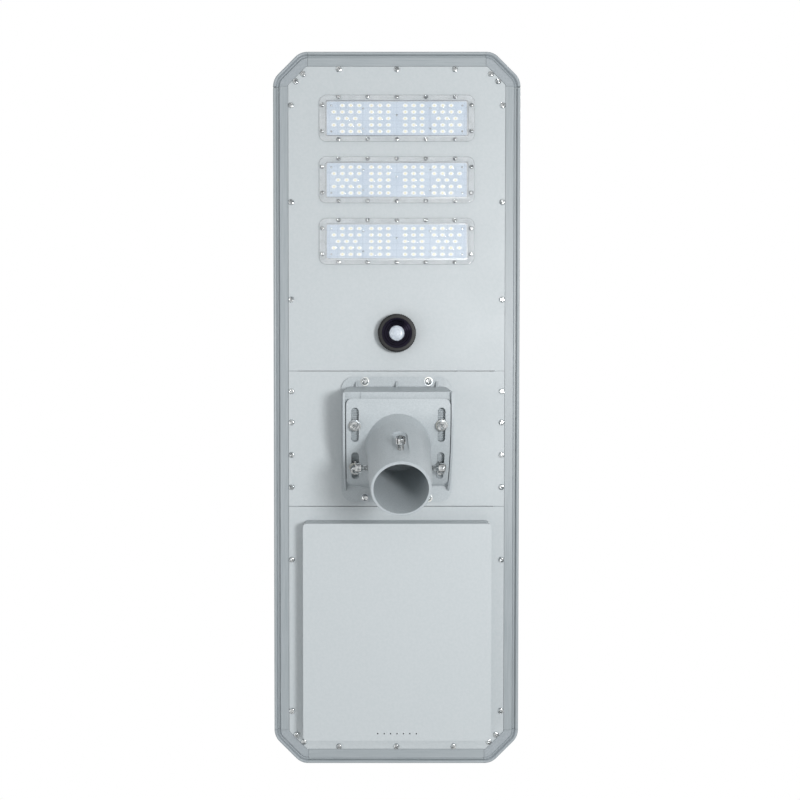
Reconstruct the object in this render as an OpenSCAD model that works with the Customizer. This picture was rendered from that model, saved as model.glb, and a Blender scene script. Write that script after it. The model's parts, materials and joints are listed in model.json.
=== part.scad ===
// All-in-one solar street lamp on a tilting pole sleeve.
// The head lies flat with its solar face up (+Z) and its lamp end at +Y.
// The origin is the middle of the mouth of the pole sleeve.

/* [Head] */
// Width of the head over the side rails
head_w = 346; // [340:1:430]
// Length of the head over the end rails
head_l = 1003; // [980:1:1210]
// Depth of the frame, underside to top lip
frame_t = 38; // [36:0.5:50]
// Size of the 45 degree corner, measured along each rail
corner_cut = 38; // [36:1:46]
// Outer bend radius of a corner casting
elbow_r = 24; // [23:0.5:26]
// Thickness of the underside sheets
sheet_t = 1.5; // [1:0.1:2]
// Gap between neighbouring sheets and along the rails
sheet_gap = 0.8; // [0.5:0.1:1.5]
// Position of the joint between lamp panel and bracket panel
lamp_joint_y = 55.7; // [50:0.1:70]
// Position of the joint between bracket panel and battery panel
battery_joint_y = -134.9; // [-150:0.1:-130]

/* [Rail] */
// Width of a rail that shows beside the sheets
rail_w = 21; // [20:0.5:22]
// Wall of the rail extrusion
rail_wall = 1.8; // [1.4:0.1:2.2]
// Radius of the bead along the outer edge
bead_r = 2.3; // [2:0.1:2.5]
// Width of the ledge that the sheets are screwed to
ledge_w = 14; // [12:0.5:16]
// Thickness of that ledge
ledge_t = 2.2; // [1.8:0.1:2.6]
// Width of the lip over the glass
glass_lip = 11; // [8:0.5:12]

/* [Solar laminate] */
// Thickness of the glass
glass_t = 3.2; // [2.5:0.1:4]
// Width of one cell
cell_w = 156; // [120:1:158]
// Length of one cut cell
cell_l = 49.5; // [40:0.5:50]
// Rows of cells along the head
cell_rows = 18; // [12:1:18]
// Gap between cells
cell_gap = 1.5; // [1:0.1:3]

/* [Lamp modules] */
// Length of a lens cover, across the head
module_w = 217; // [180:1:240]
// Width of a lens cover, along the head
module_l = 64.5; // [60:0.5:72]
// Distance between lamp modules
module_pitch = 85.5; // [84:0.5:100]
// Distance from the lamp end to the middle of the first module
module_from_end = 93.4; // [88:0.2:110]
// Thickness of a lens cover at its screw flange
cover_t = 2; // [1.6:0.1:3]
// Height of the lens field above that flange
lens_rise = 2; // [1.5:0.1:3]
// Size of one LED
led_size = 3; // [2.5:0.1:3.5]
// Height of the fins of a heat spreader
fin_h = 16; // [8:1:20]

/* [Motion sensor] */
// Position of the sensor along the head
sensor_y = 108.6; // [95:0.2:130]
// Radius of the ring nut
ring_r = 27; // [25:0.5:30]
// Height of the ring nut
ring_h = 15; // [12:0.5:18]
// Radius of the lens
sensor_lens_r = 10.8; // [9:0.2:12]

/* [Bracket] */
// Width of the base plate
base_w = 155; // [150:1:190]
// Length of the base plate
base_l = 176; // [172:1:190]
// Position of the middle of the base plate
base_y = -40.4; // [-44:0.2:-36]
// Thickness of the base plate
base_t = 4; // [3:0.2:4.4]
// Tilt of the sleeve from the head's normal at rest
tilt = 21; // [15:1:23]
// Outer radius of the curved flange
flange_r = 135; // [132:1:138]
// Thickness of the curved flange
flange_t = 6; // [5:0.5:8]
// Width of the curved flange
flange_w = 139; // [130:1:146]
// Half of the angle that the flange covers
flange_half = 28.2; // [26:0.1:28.6]
// Distance of the flange from the underside, on the sleeve's axis
flange_drop = 61.5; // [60:0.5:75]
// Position of that point along the head
flange_y = -47; // [-52:0.5:-42]
// Distance of the slots from the middle
slot_x = 57.7; // [54:0.1:60]
// Width of the slots
slot_w = 10.2; // [9:0.1:11]
// Angle from the sleeve's axis to the middle of each slot
slot_mid = 13.2; // [12:0.1:13.6]
// Tilt either way from rest
tilt_travel = 8; // [4:0.5:8]

/* [Pole sleeve] */
// Bore of the sleeve
bore_d = 68; // [62:0.5:70]
// Wall of the sleeve at its mouth
mouth_wall = 3.4; // [3:0.1:5]
// Length of the sleeve from the flange to the mouth
sleeve_l = 120; // [110:1:150]
// Distance from the mouth to the side clamp screws
side_screw_up = 58; // [50:1:62]
// Distance from the mouth to the front clamp screw
front_screw_up = 34; // [31:1:50]
// Distance from the mouth to the arched end of the front flat
flat_up = 80; // [65:1:84]
// Travel of a clamp screw
clamp_travel = 8; // [6:0.5:10]

/* [Battery] */
// Width of the battery cover
box_w = 260; // [256:1:272]
// Length of the battery cover
box_l = 302; // [296:1:306]
// Depth of the battery cover below the panel
box_h = 30; // [28:0.5:36]
// Distance from the battery panel's joint to the cover
box_from_joint = 20; // [17:0.5:24]
// Radius of one battery cell
battery_r = 16; // [13:0.5:16]
// Length of one battery cell
battery_cell_l = 70; // [65:0.5:70.5]

/* [Hidden] */
module_count = 3;
rail_names = ["side_rail_left", "side_rail_right", "end_rail_lamp", "end_rail_battery"];
corner_names = ["corner_lamp_left", "corner_lamp_right", "corner_battery_left", "corner_battery_right"];
module_parts = ["lens_cover_", "lens_gasket_", "led_board_", "led_chips_", "heat_spreader_"];
$fn = 64;

// Half sizes of the head
half_w = head_w / 2;
half_l = head_l / 2;
// Edge of the sheets, measured in from the outside of the frame
sheet_in = rail_w + sheet_gap / 2;
// Clearance of parts that are bolted together, and of a thread in its hole
fit_gap = 0.2;
thread_gap = 0.05;
// Gap between curved faces that slide on each other
slide_gap = 0.3;

// Rail section: heights of the glass seat and of the hollow
groove_z = 5;
lip_from = 9.6;
glass_bed = 0.65;
back_t = 0.9;
cell_t = 0.3;
lip_t = 1.6;
seat_z = frame_t - lip_t - glass_t - back_t - 2 * glass_bed;
hollow_z = groove_z + 2.2;
laminate_in = 3;
laminate_z = seat_z + glass_bed;
ledge_z = sheet_t + ledge_t;

// Corner castings
elbow_steps = 4;
course_count = 4;
elbow_run = elbow_r * tan(22.5);
joint_gap = 0.3;
seam_y = half_l - corner_cut - elbow_run - 0.5;
seam_x = half_w - corner_cut - elbow_run - 0.5;
spigot_l = 25;
notch_l = 2.5;
plan_in = rail_w + ledge_w + corner_cut / 2;
corner_screw_apart = 14.5;

// Screws of the sheets: M4 pan head
panel_screw_r = 2;
panel_head_r = 4.2;
panel_head_h = 2.6;
panel_screw_l = 7.5;
panel_screw_in = 3.8;
end_screw_pitch = 81;
side_line = half_w - sheet_in - panel_screw_in;
end_line = half_l - sheet_in - panel_screw_in;
lamp_side_y = [half_l - 75.2, half_l - 209.6, half_l - 345.5];
bracket_side_y = [27.2, -16.5, -62.2, -107.7];
battery_side_y = [-210.5, 75.9 - half_l];
hem_h = 12;

// Lamp modules
module_r = 10;
gasket_t = 1;
window_w = module_w - 17;
window_l = module_l - 13.5;
board_t = 1.6;
board_w = window_w - 4;
board_l = window_l - 4;
led_h = 0.8;
led_pitch_x = 11.8;
led_pitch_y = 9;
// The LEDs' places are drawn for a board of this size and spread with it
drawn_board = [196, 47];
spreader_t = 3;
fin_t = 2;
fin_count = 5;
lens_screw_r = 1.5;
lens_head_r = 2.75;
lens_head_h = 1.8;
lens_screw_in = 2.95;
lens_screw_pitch = 40.6;
short_screw_apart = 36;
short_screw_in = 4.5;
lens_screw_l = 8;
cover_wall = 1.6;
led_side = [for (i = [0:module_count - 1]) half_l - module_from_end - i * module_pitch];

// Motion sensor
tube_r = 19;
tube_wall = 2.5;
sensor_flange_r = 25;
sensor_flange_t = 3;
hood_wall = 1.2;
ring_wall = 3.5;
ring_floor_z = -6;

// Bracket base: M5 pan-head screws with washers and nuts
base_r = 18;
base_top_y = base_y + base_l / 2;
base_low_y = base_y - base_l / 2;
base_screw_x = 44.5;
base_screw_in = 6.5;
base_screw_r = 2.5;
base_head_r = 5;
base_head_h = 3.6;
washer_t = 1.2;
base_washer_r = 6;
nut_r = 4.62;
nut_h = 4;
channel_t = 3;
channel_fold = 13;
channel_over = 5;
pad_r = 10;
body_w = flange_w + 9;
cheek_t = 3;
cheek_r = flange_r - 2;
body_r = flange_r - flange_t - slide_gap;
strip_drop = 1.4;
strip_in = 50;
core_wall = 8;
boss_r = 9;
gusset_t = 3;
gusset_x = 56;
gusset_foot = 7;
gusset_h = 10;
body_back_y = base_top_y - base_screw_in - base_washer_r - 0.5;
body_draft = 11;
body_corner = 12;
body_depth = flange_drop + 30;

// Saddle and hinge axis
hinge_y = flange_y + flange_r * sin(tilt);
hinge_z = flange_r * cos(tilt) - flange_drop;
mouth_s = flange_r + sleeve_l;
mouth_y = hinge_y - mouth_s * sin(tilt);
mouth_z = hinge_z - mouth_s * cos(tilt);

// Tilt bolts: M8 socket head with washer
bolt_r = 4;
bolt_head_r = 6.5;
bolt_head_h = 8;
socket_r = 3.46;
socket_deep = 4;
bolt_washer_r = 8;
bolt_washer_t = 1.6;
bolt_l = 22;
slot_half = tilt_travel + 2;
slot_relief = 0.03;

// Sleeve
bore_r = bore_d / 2;
mouth_r = bore_r + mouth_wall;
sleeve_floor = 9;
waist_r = mouth_r + 3.2;
root_r = mouth_r + 4.8;
flare_r = mouth_r + 8;
waist_up = 39;
mouth_edge = 0.8;
face_r = 10;
flat_low = 20;
face_floor = bore_r + 4.2;
side_seat = bore_r + 7;
front_seat = face_floor;

// Battery
box_r = 5;
box_wall = 1.5;
box_flange = 7;
box_top_y = battery_joint_y - box_from_joint;
box_y = box_top_y - box_l / 2;
vent_r = 1;
vent_pitch = 8.9;
vent_in = 10;
vent_count = 7;
tray_wall = 2;
tray_h = 18;
cell_side_gap = 0.6;
battery_columns = 3;
battery_rows = 8;
column_pitch = battery_cell_l + tray_wall + 2 * cell_side_gap;
row_pitch = 2 * battery_r + cell_side_gap;
tray_w = battery_columns * column_pitch + tray_wall;
tray_l = battery_rows * row_pitch + 2 * tray_wall + cell_side_gap;
tray_z = box_wall - box_h;
battery_z = tray_z + tray_wall + slide_gap + battery_r;
strap_w = 16;
strap_t = 1.5;

// Controller and junction box
controller_w = 96;
controller_l = 64;
controller_h = 22;
controller_x = -84;
junction_w = 60;
junction_l = 50;
junction_h = 12;
junction_x = 70;
junction_y = 90;

// Leads: radii and the points they pass
lead_r = 2;
lead_sides = 8;
module_lead_x = -module_w / 2 - 9;
lead_z = 14;
over_z = 25;
controller_low_y = sensor_y - controller_l / 2;
controller_side_x = controller_x + controller_w / 2;
junction_side_x = junction_x - junction_w / 2;
battery_lead_path = [
    [-55, box_top_y - 26, battery_z + battery_r + lead_r + slide_gap], [-56, box_top_y - 4, 19],
    [-58, box_top_y + 12, over_z], [-62, -110, over_z], [-66, -60, over_z], [-74, -10, over_z],
    [-86, 40, over_z], [-86, 62, over_z - 4], [-86, controller_low_y - 9, lead_z], [-86, controller_low_y, lead_z]
];
panel_lead_path = [
    [junction_side_x, junction_y, over_z], [junction_side_x - 10, junction_y, over_z], [16, 78, over_z],
    [-4, 76, over_z - 2], [-20, 84, lead_z + 3], [controller_side_x + 9, 88, lead_z], [controller_side_x, 88, lead_z]
];
sensor_lead_path = [
    [-9, sensor_y, 9.3], [-12, sensor_y + 1, 17], [-16, sensor_y + 4, 19.5], [-24, sensor_y + 10, 17],
    [controller_side_x + 7, sensor_y + 16, lead_z], [controller_side_x, sensor_y + 16, lead_z]
];

// ---- shared shapes ----

// Size of the 45 degree corner of an outline that lies d inside the frame
function cut_at(d) = corner_cut - d * (2 - sqrt(2));

// Points of an eighth of a turn round a centre
function eighth(x, y, r, from) = [
    for (k = [0:elbow_steps]) [x + r * cos(from + 45 * k / elbow_steps), y + r * sin(from + 45 * k / elbow_steps)]
];
function quarter(d) = let (
    r = max(elbow_r - d, 1),
    run = r * tan(22.5),
    x = half_w - d,
    y = half_l - d,
    c = cut_at(d)
) concat(eighth(x - r, y - c - run, r, 0), eighth(x - c - run, y - r, r, 45));
function flip_x(p) = [for (i = [len(p) - 1:-1:0]) [-p[i][0], p[i][1]]];
function flip_y(p) = [for (i = [len(p) - 1:-1:0]) [p[i][0], -p[i][1]]];

// Outline of the head with its bent corners, d inside the outer face
module outline(d) {
    lamp_half = concat(quarter(d), flip_x(quarter(d)));
    polygon(concat(lamp_half, flip_y(lamp_half)));
}

// Frame-shaped ring between d0 and d1 inside the outer face
module frame_ring(d0, d1) {
    difference() {
        outline(d0);
        outline(d1);
    }
}

// Rectangle with round corners, centred
module rounded(w, l, r) {
    square([w - 2 * r, l], center = true);
    square([w, l - 2 * r], center = true);
    for (x = [-1, 1], y = [-1, 1]) translate([x * (w / 2 - r), y * (l / 2 - r)]) circle(r = r);
}

// Slab from z0 to z1
module slab(z0, z1) {
    translate([0, 0, z0]) linear_extrude(z1 - z0) children();
}

// Upright hole or pin from z0 to z1
module pin(x, y, r, z0, z1) {
    translate([x, y, z0]) cylinder(r = r, h = z1 - z0);
}

// Everything is drawn in the head's own frame and moved so that the sleeve's mouth is the origin
module placed() {
    translate([0, -mouth_y, -mouth_z]) children();
}

// Frame of the saddle: its origin on the hinge axis, the sleeve pointing down
module saddle_frame() {
    translate([0, hinge_y, hinge_z]) rotate([-tilt, 0, 0]) children();
}

// Round the hinge axis: a band from radius r0 to r1, w wide, from angle a0 to a1
module band(r0, r1, w, a0, a1) {
    rotate([0, 90, 0]) rotate([0, 0, a0]) rotate_extrude(angle = a1 - a0, $fn = 180)
        translate([r0, -w / 2]) square([r1 - r0, w]);
}

// Turns its children so that their -Z points along the radius at an angle
module at_angle(a) {
    rotate([a, 0, 0]) children();
}

// Cylinder about the hinge axis
module axis_cylinder(r, w) {
    rotate([0, 90, 0]) cylinder(r = r, h = w, center = true, $fn = 180);
}

// Pan-head screw with its head below z = 0
module pan_screw(r, head_r, head_h, l) {
    rotate_extrude() polygon([
        [0, -head_h], [head_r * 0.62, -head_h], [head_r * 0.9, -head_h * 0.7],
        [head_r, -head_h * 0.3], [head_r, 0], [r, 0], [r, l], [0, l]
    ]);
}

// Socket-head screw: head from s = 0 to head_h along -Z, shank the other way
module cap_screw(r, head_r, head_h, l) {
    difference() {
        rotate_extrude() polygon([
            [0, l], [r, l], [r, 0], [head_r, 0], [head_r, 0.5 - head_h], [head_r - 0.5, -head_h], [0, -head_h]
        ]);
        translate([0, 0, -head_h - 1]) cylinder(r = socket_r, h = socket_deep + 1, $fn = 6);
    }
}

// ---- frame ----

// Outer shape of the rail section: u inwards from the outer face, z up
module rail_shape() {
    translate([bead_r, bead_r + 0.8]) circle(r = bead_r);
    translate([0, bead_r + 0.8]) square([2 * bead_r, groove_z]);
    translate([0, groove_z]) square([rail_w, seat_z - groove_z]);
    translate([0, groove_z]) square([rail_wall, frame_t - groove_z]);
    translate([0, frame_t - lip_t]) square([glass_lip, lip_t]);
    polygon([[lip_from - 2.2, groove_z + 1], [lip_from, 0], [rail_w, 0], [rail_w, groove_z + 1]]);
}

// The ledge under the rail's inner edge
module ledge_shape() {
    translate([rail_w - 1, sheet_t]) square([ledge_w + 1, ledge_t]);
}

module rail_section() {
    difference() {
        union() {
            rail_shape();
            ledge_shape();
        }
        translate([rail_wall, hollow_z]) square([rail_w - 2 * rail_wall, seat_z - rail_wall - hollow_z]);
    }
}

// A run of a section along +Y, its outer face at x = 0
module run_y(l) {
    translate([0, l, 0]) rotate([90, 0, 0]) linear_extrude(l) mirror([1, 0]) children();
}

module side_rail(side) {
    mirror([side < 0 ? 1 : 0, 0, 0]) difference() {
        translate([half_w, joint_gap - seam_y, 0]) run_y(2 * seam_y - 2 * joint_gap) rail_section();
        // notch in the bead beside the lamp-end casting
        translate([half_w - 2 * bead_r, seam_y - notch_l, -1]) cube([2 * bead_r + 1, notch_l + 1, groove_z + 1]);
        mirror([side < 0 ? 1 : 0, 0, 0]) panel_screw_holes(panel_screw_r + thread_gap);
    }
}

module end_rail(side) {
    difference() {
        mirror([0, side < 0 ? 1 : 0, 0]) translate([seam_x - joint_gap, half_l, 0]) rotate([0, 0, 90])
            run_y(2 * seam_x - 2 * joint_gap) rail_section();
        panel_screw_holes(panel_screw_r + thread_gap);
    }
}

// Plug of a casting in the hollow of a rail, along +Y from y = 0
module spigot() {
    translate([fit_gap + rail_wall - rail_w, 0, hollow_z + fit_gap])
        cube([rail_w - 2 * rail_wall - 2 * fit_gap, spigot_l, seat_z - rail_wall - hollow_z - 2 * fit_gap]);
}

// Plan of the corner at +X, +Y, as far as the seams
module corner_plan() {
    polygon([
        [seam_x, half_l + 1], [seam_x, half_l - plan_in], [half_w - plan_in, seam_y],
        [half_w + 1, seam_y], [half_w + 1, half_l + 1]
    ]);
}

// A course of the casting, from z0 to z1 and from d0 to d1 inside the outer face
module course(z0, z1, d0, d1) {
    slab(z0, z1) intersection() {
        frame_ring(d0, d1);
        corner_plan();
    }
}

// Casting of the corner at +X, +Y: it follows the rail section in thin courses
module corner_shape() {
    bead_z = bead_r + 0.8;
    bead_step = bead_r / course_count;
    for (k = [0:course_count - 1]) {
        half = sqrt(pow(bead_r, 2) - pow((k + 0.4) * bead_step, 2));
        course(bead_z - (k + 1) * bead_step, bead_z - k * bead_step, bead_r - half, bead_r + half);
    }
    course(bead_z, groove_z, 0, 2 * bead_r);
    lip_step = groove_z / course_count;
    for (k = [0:course_count - 1])
        course(k * lip_step, (k + 1) * lip_step, lip_from - 1.8 * (k + 0.5) / course_count, rail_w);
    course(groove_z, seat_z, 0, rail_w);
    course(seat_z, frame_t - lip_t, 0, rail_wall);
    course(frame_t - lip_t, frame_t, 0, glass_lip);
    course(sheet_t, ledge_z, rail_w - 1, rail_w + ledge_w);
    // plugs in both rails
    translate([half_w, seam_y + 1, 0]) mirror([0, 1, 0]) spigot();
    translate([seam_x + 1, half_l, 0]) rotate([0, 0, 90]) spigot();
}

module corner(sx, sy) {
    difference() {
        mirror([sx < 0 ? 1 : 0, 0, 0]) mirror([0, sy < 0 ? 1 : 0, 0]) corner_shape();
        panel_screw_holes(panel_screw_r + thread_gap);
    }
}

// ---- underside sheets and their screws ----

// Places of the screws of each sheet
function side_places(list) = [for (y = list) for (s = [-1, 1]) [s * side_line, y]];
function end_places(s) = [for (i = [-1:1]) [i * end_screw_pitch, s * end_line]];
corner_mid = [half_w - corner_cut / 2, half_l - corner_cut / 2] - (sheet_in + panel_screw_in) * [1, 1] / sqrt(2);
corner_step = corner_screw_apart / 2 / sqrt(2);
function corner_places(s) = [
    for (sx = [-1, 1]) for (k = [-1, 1]) [sx * (corner_mid[0] + k * corner_step), s * (corner_mid[1] - k * corner_step)]
];
lamp_places = concat(side_places(lamp_side_y), end_places(1), corner_places(1));
bracket_places = side_places(bracket_side_y);
battery_places = concat(side_places(battery_side_y), end_places(-1), corner_places(-1));
panel_places = concat(lamp_places, bracket_places, battery_places);

module panel_screw_holes(r) {
    for (p = panel_places) pin(p[0], p[1], r, -1, hollow_z + 4);
}

// A sheet from y0 to y1 with a hem turned up at the joints
module sheet(y0, y1, hem_low, hem_high) {
    slab(0, sheet_t) intersection() {
        outline(sheet_in);
        translate([-half_w, y0]) square([head_w, y1 - y0]);
    }
    hem_w = head_w - 2 * (rail_w + ledge_w) - 2;
    if (hem_low) translate([-hem_w / 2, y0, 0]) cube([hem_w, sheet_t, hem_h]);
    if (hem_high) translate([-hem_w / 2, y1 - sheet_t, 0]) cube([hem_w, sheet_t, hem_h]);
}

module lamp_panel() {
    color("#cdd1d4") difference() {
        sheet(lamp_joint_y + sheet_gap / 2, half_l, true, false);
        for (y = led_side) translate([0, y, 0]) {
            slab(-1, sheet_t + 1) rounded(window_w, window_l, 3);
            for (p = cover_places()) pin(p[0], p[1], lens_screw_r + fit_gap, -1, sheet_t + 1);
        }
        pin(0, sensor_y, tube_r + fit_gap, -1, sheet_t + 1);
        for (p = lamp_places) pin(p[0], p[1], panel_screw_r + fit_gap, -1, sheet_t + 1);
    }
}

module bracket_panel() {
    color("#cdd1d4") difference() {
        sheet(battery_joint_y + sheet_gap / 2, lamp_joint_y - sheet_gap / 2, false, false);
        for (p = base_places()) pin(p[0], p[1], base_screw_r + fit_gap, -1, sheet_t + 1);
        for (p = bracket_places) pin(p[0], p[1], panel_screw_r + fit_gap, -1, sheet_t + 1);
    }
}

module battery_panel() {
    color("#cdd1d4") difference() {
        sheet(-half_l, battery_joint_y - sheet_gap / 2, false, true);
        translate([0, box_y, 0]) slab(-1, sheet_t + 1) rounded(box_w + 2 * fit_gap, box_l + 2 * fit_gap, box_r);
        for (p = battery_places) pin(p[0], p[1], panel_screw_r + fit_gap, -1, sheet_t + 1);
    }
}

module panel_screws() {
    color("#d8dadb") for (p = panel_places) translate([p[0], p[1], 0])
        pan_screw(panel_screw_r, panel_head_r, panel_head_h, panel_screw_l);
}

// ---- solar laminate ----

module solar_glass() {
    color("#22304f") slab(laminate_z + back_t, laminate_z + back_t + glass_t) outline(laminate_in);
}

module cell_grid() {
    for (sx = [-1, 1], i = [0:cell_rows - 1])
        translate([sx * (cell_w + cell_gap) / 2, (i - (cell_rows - 1) / 2) * (cell_l + cell_gap)]) children();
}

module solar_cells() {
    color("#14203c") slab(laminate_z + back_t - cell_t, laminate_z + back_t)
        cell_grid() square([cell_w, cell_l], center = true);
}

module back_sheet() {
    color("white") difference() {
        slab(laminate_z, laminate_z + back_t) outline(laminate_in);
        slab(laminate_z + back_t - cell_t, laminate_z + back_t + 1)
            cell_grid() square([cell_w, cell_l], center = true);
    }
}

module glass_seal() {
    color("#e6e8e8") difference() {
        slab(seat_z, frame_t - lip_t) difference() {
            outline(rail_wall);
            outline(glass_lip - 1);
        }
        slab(laminate_z, laminate_z + back_t + glass_t) outline(laminate_in);
    }
}

module junction_box() {
    color("#1d1e20") translate([junction_x, junction_y, 0]) difference() {
        slab(laminate_z - junction_h, laminate_z) rounded(junction_w, junction_l, 4);
        slab(laminate_z - junction_h + 2, laminate_z + 1) rounded(junction_w - 4, junction_l - 4, 2);
    }
}

// ---- lamp modules ----

// Places of the screws of a lens cover, from the module's middle
function cover_places() = concat(
    [for (i = [-2:2]) for (s = [-1, 1]) [i * lens_screw_pitch, s * (module_l / 2 - lens_screw_in)]],
    [for (k = [-1, 1]) for (s = [-1, 1]) [s * (module_w / 2 - short_screw_in), k * short_screw_apart / 2]]
);

// Columns of one half of the board: the outer block is staggered, the inner block is square
function outer_columns(j) = j == 0 ? [82, 70, 58] : abs(j) == 2 ? [76, 64.2, 52.4] : [87.8, 76, 64.2, 52.4];
function drawn_places() = [
    for (s = [-1, 1]) for (j = [-2:2])
        for (x = outer_columns(j)) [s * x, j * led_pitch_y],
    for (s = [-1, 1]) for (j = [-2:2]) for (k = [1:3]) [s * k * led_pitch_x, j * led_pitch_y]
];
function led_places() = [
    for (p = drawn_places()) [p[0] * board_w / drawn_board[0], p[1] * board_l / drawn_board[1]]
];

module lens_cover(i) {
    rim = -gasket_t - cover_t;
    color("#e9eef2", 0.5) translate([0, led_side[i - 1], 0]) difference() {
        union() {
            slab(rim, -gasket_t) rounded(module_w, module_l, module_r);
            slab(rim - lens_rise, rim) rounded(window_w - 2, window_l - 2, 3);
        }
        slab(rim - lens_rise + cover_wall, 0)
            rounded(window_w - 2 - 2 * cover_wall, window_l - 2 - 2 * cover_wall, 2);
        for (p = cover_places()) pin(p[0], p[1], lens_screw_r + fit_gap, rim - 1, 0);
    }
}

module lens_gasket(i) {
    color("#f2f2f0") translate([0, led_side[i - 1], 0]) slab(-gasket_t, 0) difference() {
        rounded(module_w - 1, module_l - 1, module_r - 0.5);
        rounded(window_w, window_l, 3);
        for (p = cover_places()) translate([p[0], p[1]]) circle(r = lens_screw_r + fit_gap);
    }
}

module led_board(i) {
    color("#dfe8f2") translate([0, led_side[i - 1], 0]) slab(sheet_t - board_t, sheet_t) rounded(board_w, board_l, 2);
}

module led_chips(i) {
    color("#f3edc4") translate([0, led_side[i - 1], 0]) slab(sheet_t - board_t - led_h, sheet_t - board_t)
        for (p = led_places()) translate([p[0], p[1]]) square(led_size, center = true);
}

module heat_spreader(i) {
    color("#b9bec2") translate([0, led_side[i - 1], 0]) difference() {
        union() {
            slab(sheet_t, sheet_t + spreader_t) square([module_w, module_l], center = true);
            for (k = [0:fin_count - 1])
                translate([0, (k - (fin_count - 1) / 2) * (module_l - fin_t) / (fin_count - 1), 0])
                    slab(sheet_t, sheet_t + spreader_t + fin_h) square([module_w - 20, fin_t], center = true);
        }
        for (p = cover_places()) pin(p[0], p[1], lens_screw_r + thread_gap, 0, lens_screw_l + 1);
    }
}

module lens_screws() {
    color("#d8dadb") for (y = led_side) for (p = cover_places()) translate([p[0], y + p[1], -gasket_t - cover_t])
        pan_screw(lens_screw_r, lens_head_r, lens_head_h, lens_screw_l);
}

// ---- motion sensor ----

module sensor_body() {
    color("#202124") translate([0, sensor_y, 0]) difference() {
        union() {
            pin(0, 0, tube_r, ring_floor_z + fit_gap, sheet_t + gasket_t + 12);
            pin(0, 0, sensor_flange_r, sheet_t + gasket_t, sheet_t + gasket_t + sensor_flange_t);
        }
        pin(0, 0, tube_r - tube_wall, ring_floor_z + 2, sheet_t + gasket_t + 13);
        pin(0, 0, sensor_lens_r + fit_gap, ring_floor_z - 1, ring_floor_z + 3);
    }
}

module sensor_gasket() {
    color("#2b2b2b") translate([0, sensor_y, 0]) slab(sheet_t, sheet_t + gasket_t) difference() {
        circle(r = sensor_flange_r - 1);
        circle(r = tube_r + fit_gap);
    }
}

module sensor_ring() {
    color("#1c1d1f") translate([0, sensor_y, 0]) rotate_extrude() polygon([
        [tube_r + thread_gap, 0], [ring_r - 0.6, 0], [ring_r, -0.6], [ring_r, 0.8 - ring_h], [ring_r - 0.8, -ring_h],
        [ring_r - ring_wall, -ring_h], [ring_r - ring_wall, ring_floor_z - hood_wall],
        [tube_r + thread_gap, ring_floor_z - hood_wall]
    ]);
}

module sensor_hood() {
    mouth = ring_r - ring_wall - fit_gap;
    color("#151618") translate([0, sensor_y, 0]) rotate_extrude() polygon([
        [sensor_lens_r + fit_gap, ring_floor_z - hood_wall],
        [sensor_lens_r + hood_wall + 0.6, ring_floor_z - hood_wall],
        [mouth, 0.9 - ring_h], [mouth, 0.1 - ring_h], [mouth - hood_wall, 0.1 - ring_h],
        [sensor_lens_r + fit_gap, ring_floor_z - hood_wall - 1]
    ]);
}

module sensor_lens() {
    color("#f0f2f4") translate([0, sensor_y, 0]) rotate_extrude() polygon(concat(
        [[0, ring_floor_z + 3.4], [sensor_lens_r + 2.5, ring_floor_z + 3.4], [sensor_lens_r + 2.5, ring_floor_z + 2],
            [sensor_lens_r, ring_floor_z + 2]],
        [for (a = [0:15:90]) [sensor_lens_r * cos(a), ring_floor_z - 1.5 - 3.5 * sin(a)]]
    ));
}

module sensor_board() {
    color("#2f6b46") translate([0, sensor_y, 0]) union() {
        pin(0, 0, tube_r - tube_wall - fit_gap, 6, 7.6);
        pin(0, 0, 4.6, ring_floor_z + 4, 6);
        translate([-7, -5, 7.6]) cube([10, 10, 3]);
    }
}

// ---- bracket ----

// Places of the base plate's screws
function base_places() = [
    for (s = [-1, 1]) for (y = [base_top_y - base_screw_in, base_low_y + base_screw_in]) [s * base_screw_x, y]
];

// Side view of the cast body, before the saddle is cut: drafted at the lamp end
module body_profile(inset) {
    polygon([
        [body_back_y - inset, 1], [body_back_y - inset - body_draft, -body_depth],
        [base_low_y, -body_depth], [base_low_y, 1]
    ]);
}

module body_block(r, w, inset) {
    intersection() {
        translate([0, hinge_y, hinge_z]) axis_cylinder(r, w);
        rotate([90, 0, 90]) translate([0, 0, -w / 2]) linear_extrude(w) body_profile(inset);
        translate([0, (body_back_y + base_low_y) / 2, 0]) slab(-body_depth, 0)
            rounded(body_w, body_back_y - base_low_y, body_corner);
    }
}

module tilt_places() {
    for (s = [-1, 1], a = [-1, 1]) saddle_frame() at_angle(a * slot_mid) translate([s * slot_x, 0, 0]) children();
}

module bracket_base() {
    color("#c6cacc") difference() {
        union() {
            translate([0, base_y, 0]) slab(-base_t, 0) rounded(base_w, base_l, base_r);
            body_block(body_r, 2 * strip_in, 0);
            body_block(body_r - strip_drop, body_w, 0);
            intersection() {
                body_block(cheek_r, body_w, 0);
                for (s = [-1, 1]) translate([s * (body_w - cheek_t) / 2 - cheek_t / 2, base_low_y, -body_depth])
                    cube([cheek_t, base_l, body_depth]);
            }
            for (x = [-gusset_x, 0, gusset_x]) gusset(x);
        }
        difference() {
            body_block(body_r - core_wall, body_w - 2 * core_wall, core_wall);
            tilt_places() translate([0, 0, -body_r]) cylinder(r = boss_r, h = bolt_l);
        }
        for (p = base_places()) pin(p[0], p[1], base_screw_r + fit_gap, -base_t - 1, 1);
        tilt_places() translate([0, 0, -body_r - 5]) cylinder(r = bolt_r + thread_gap, h = bolt_l + 6);
    }
}

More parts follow.
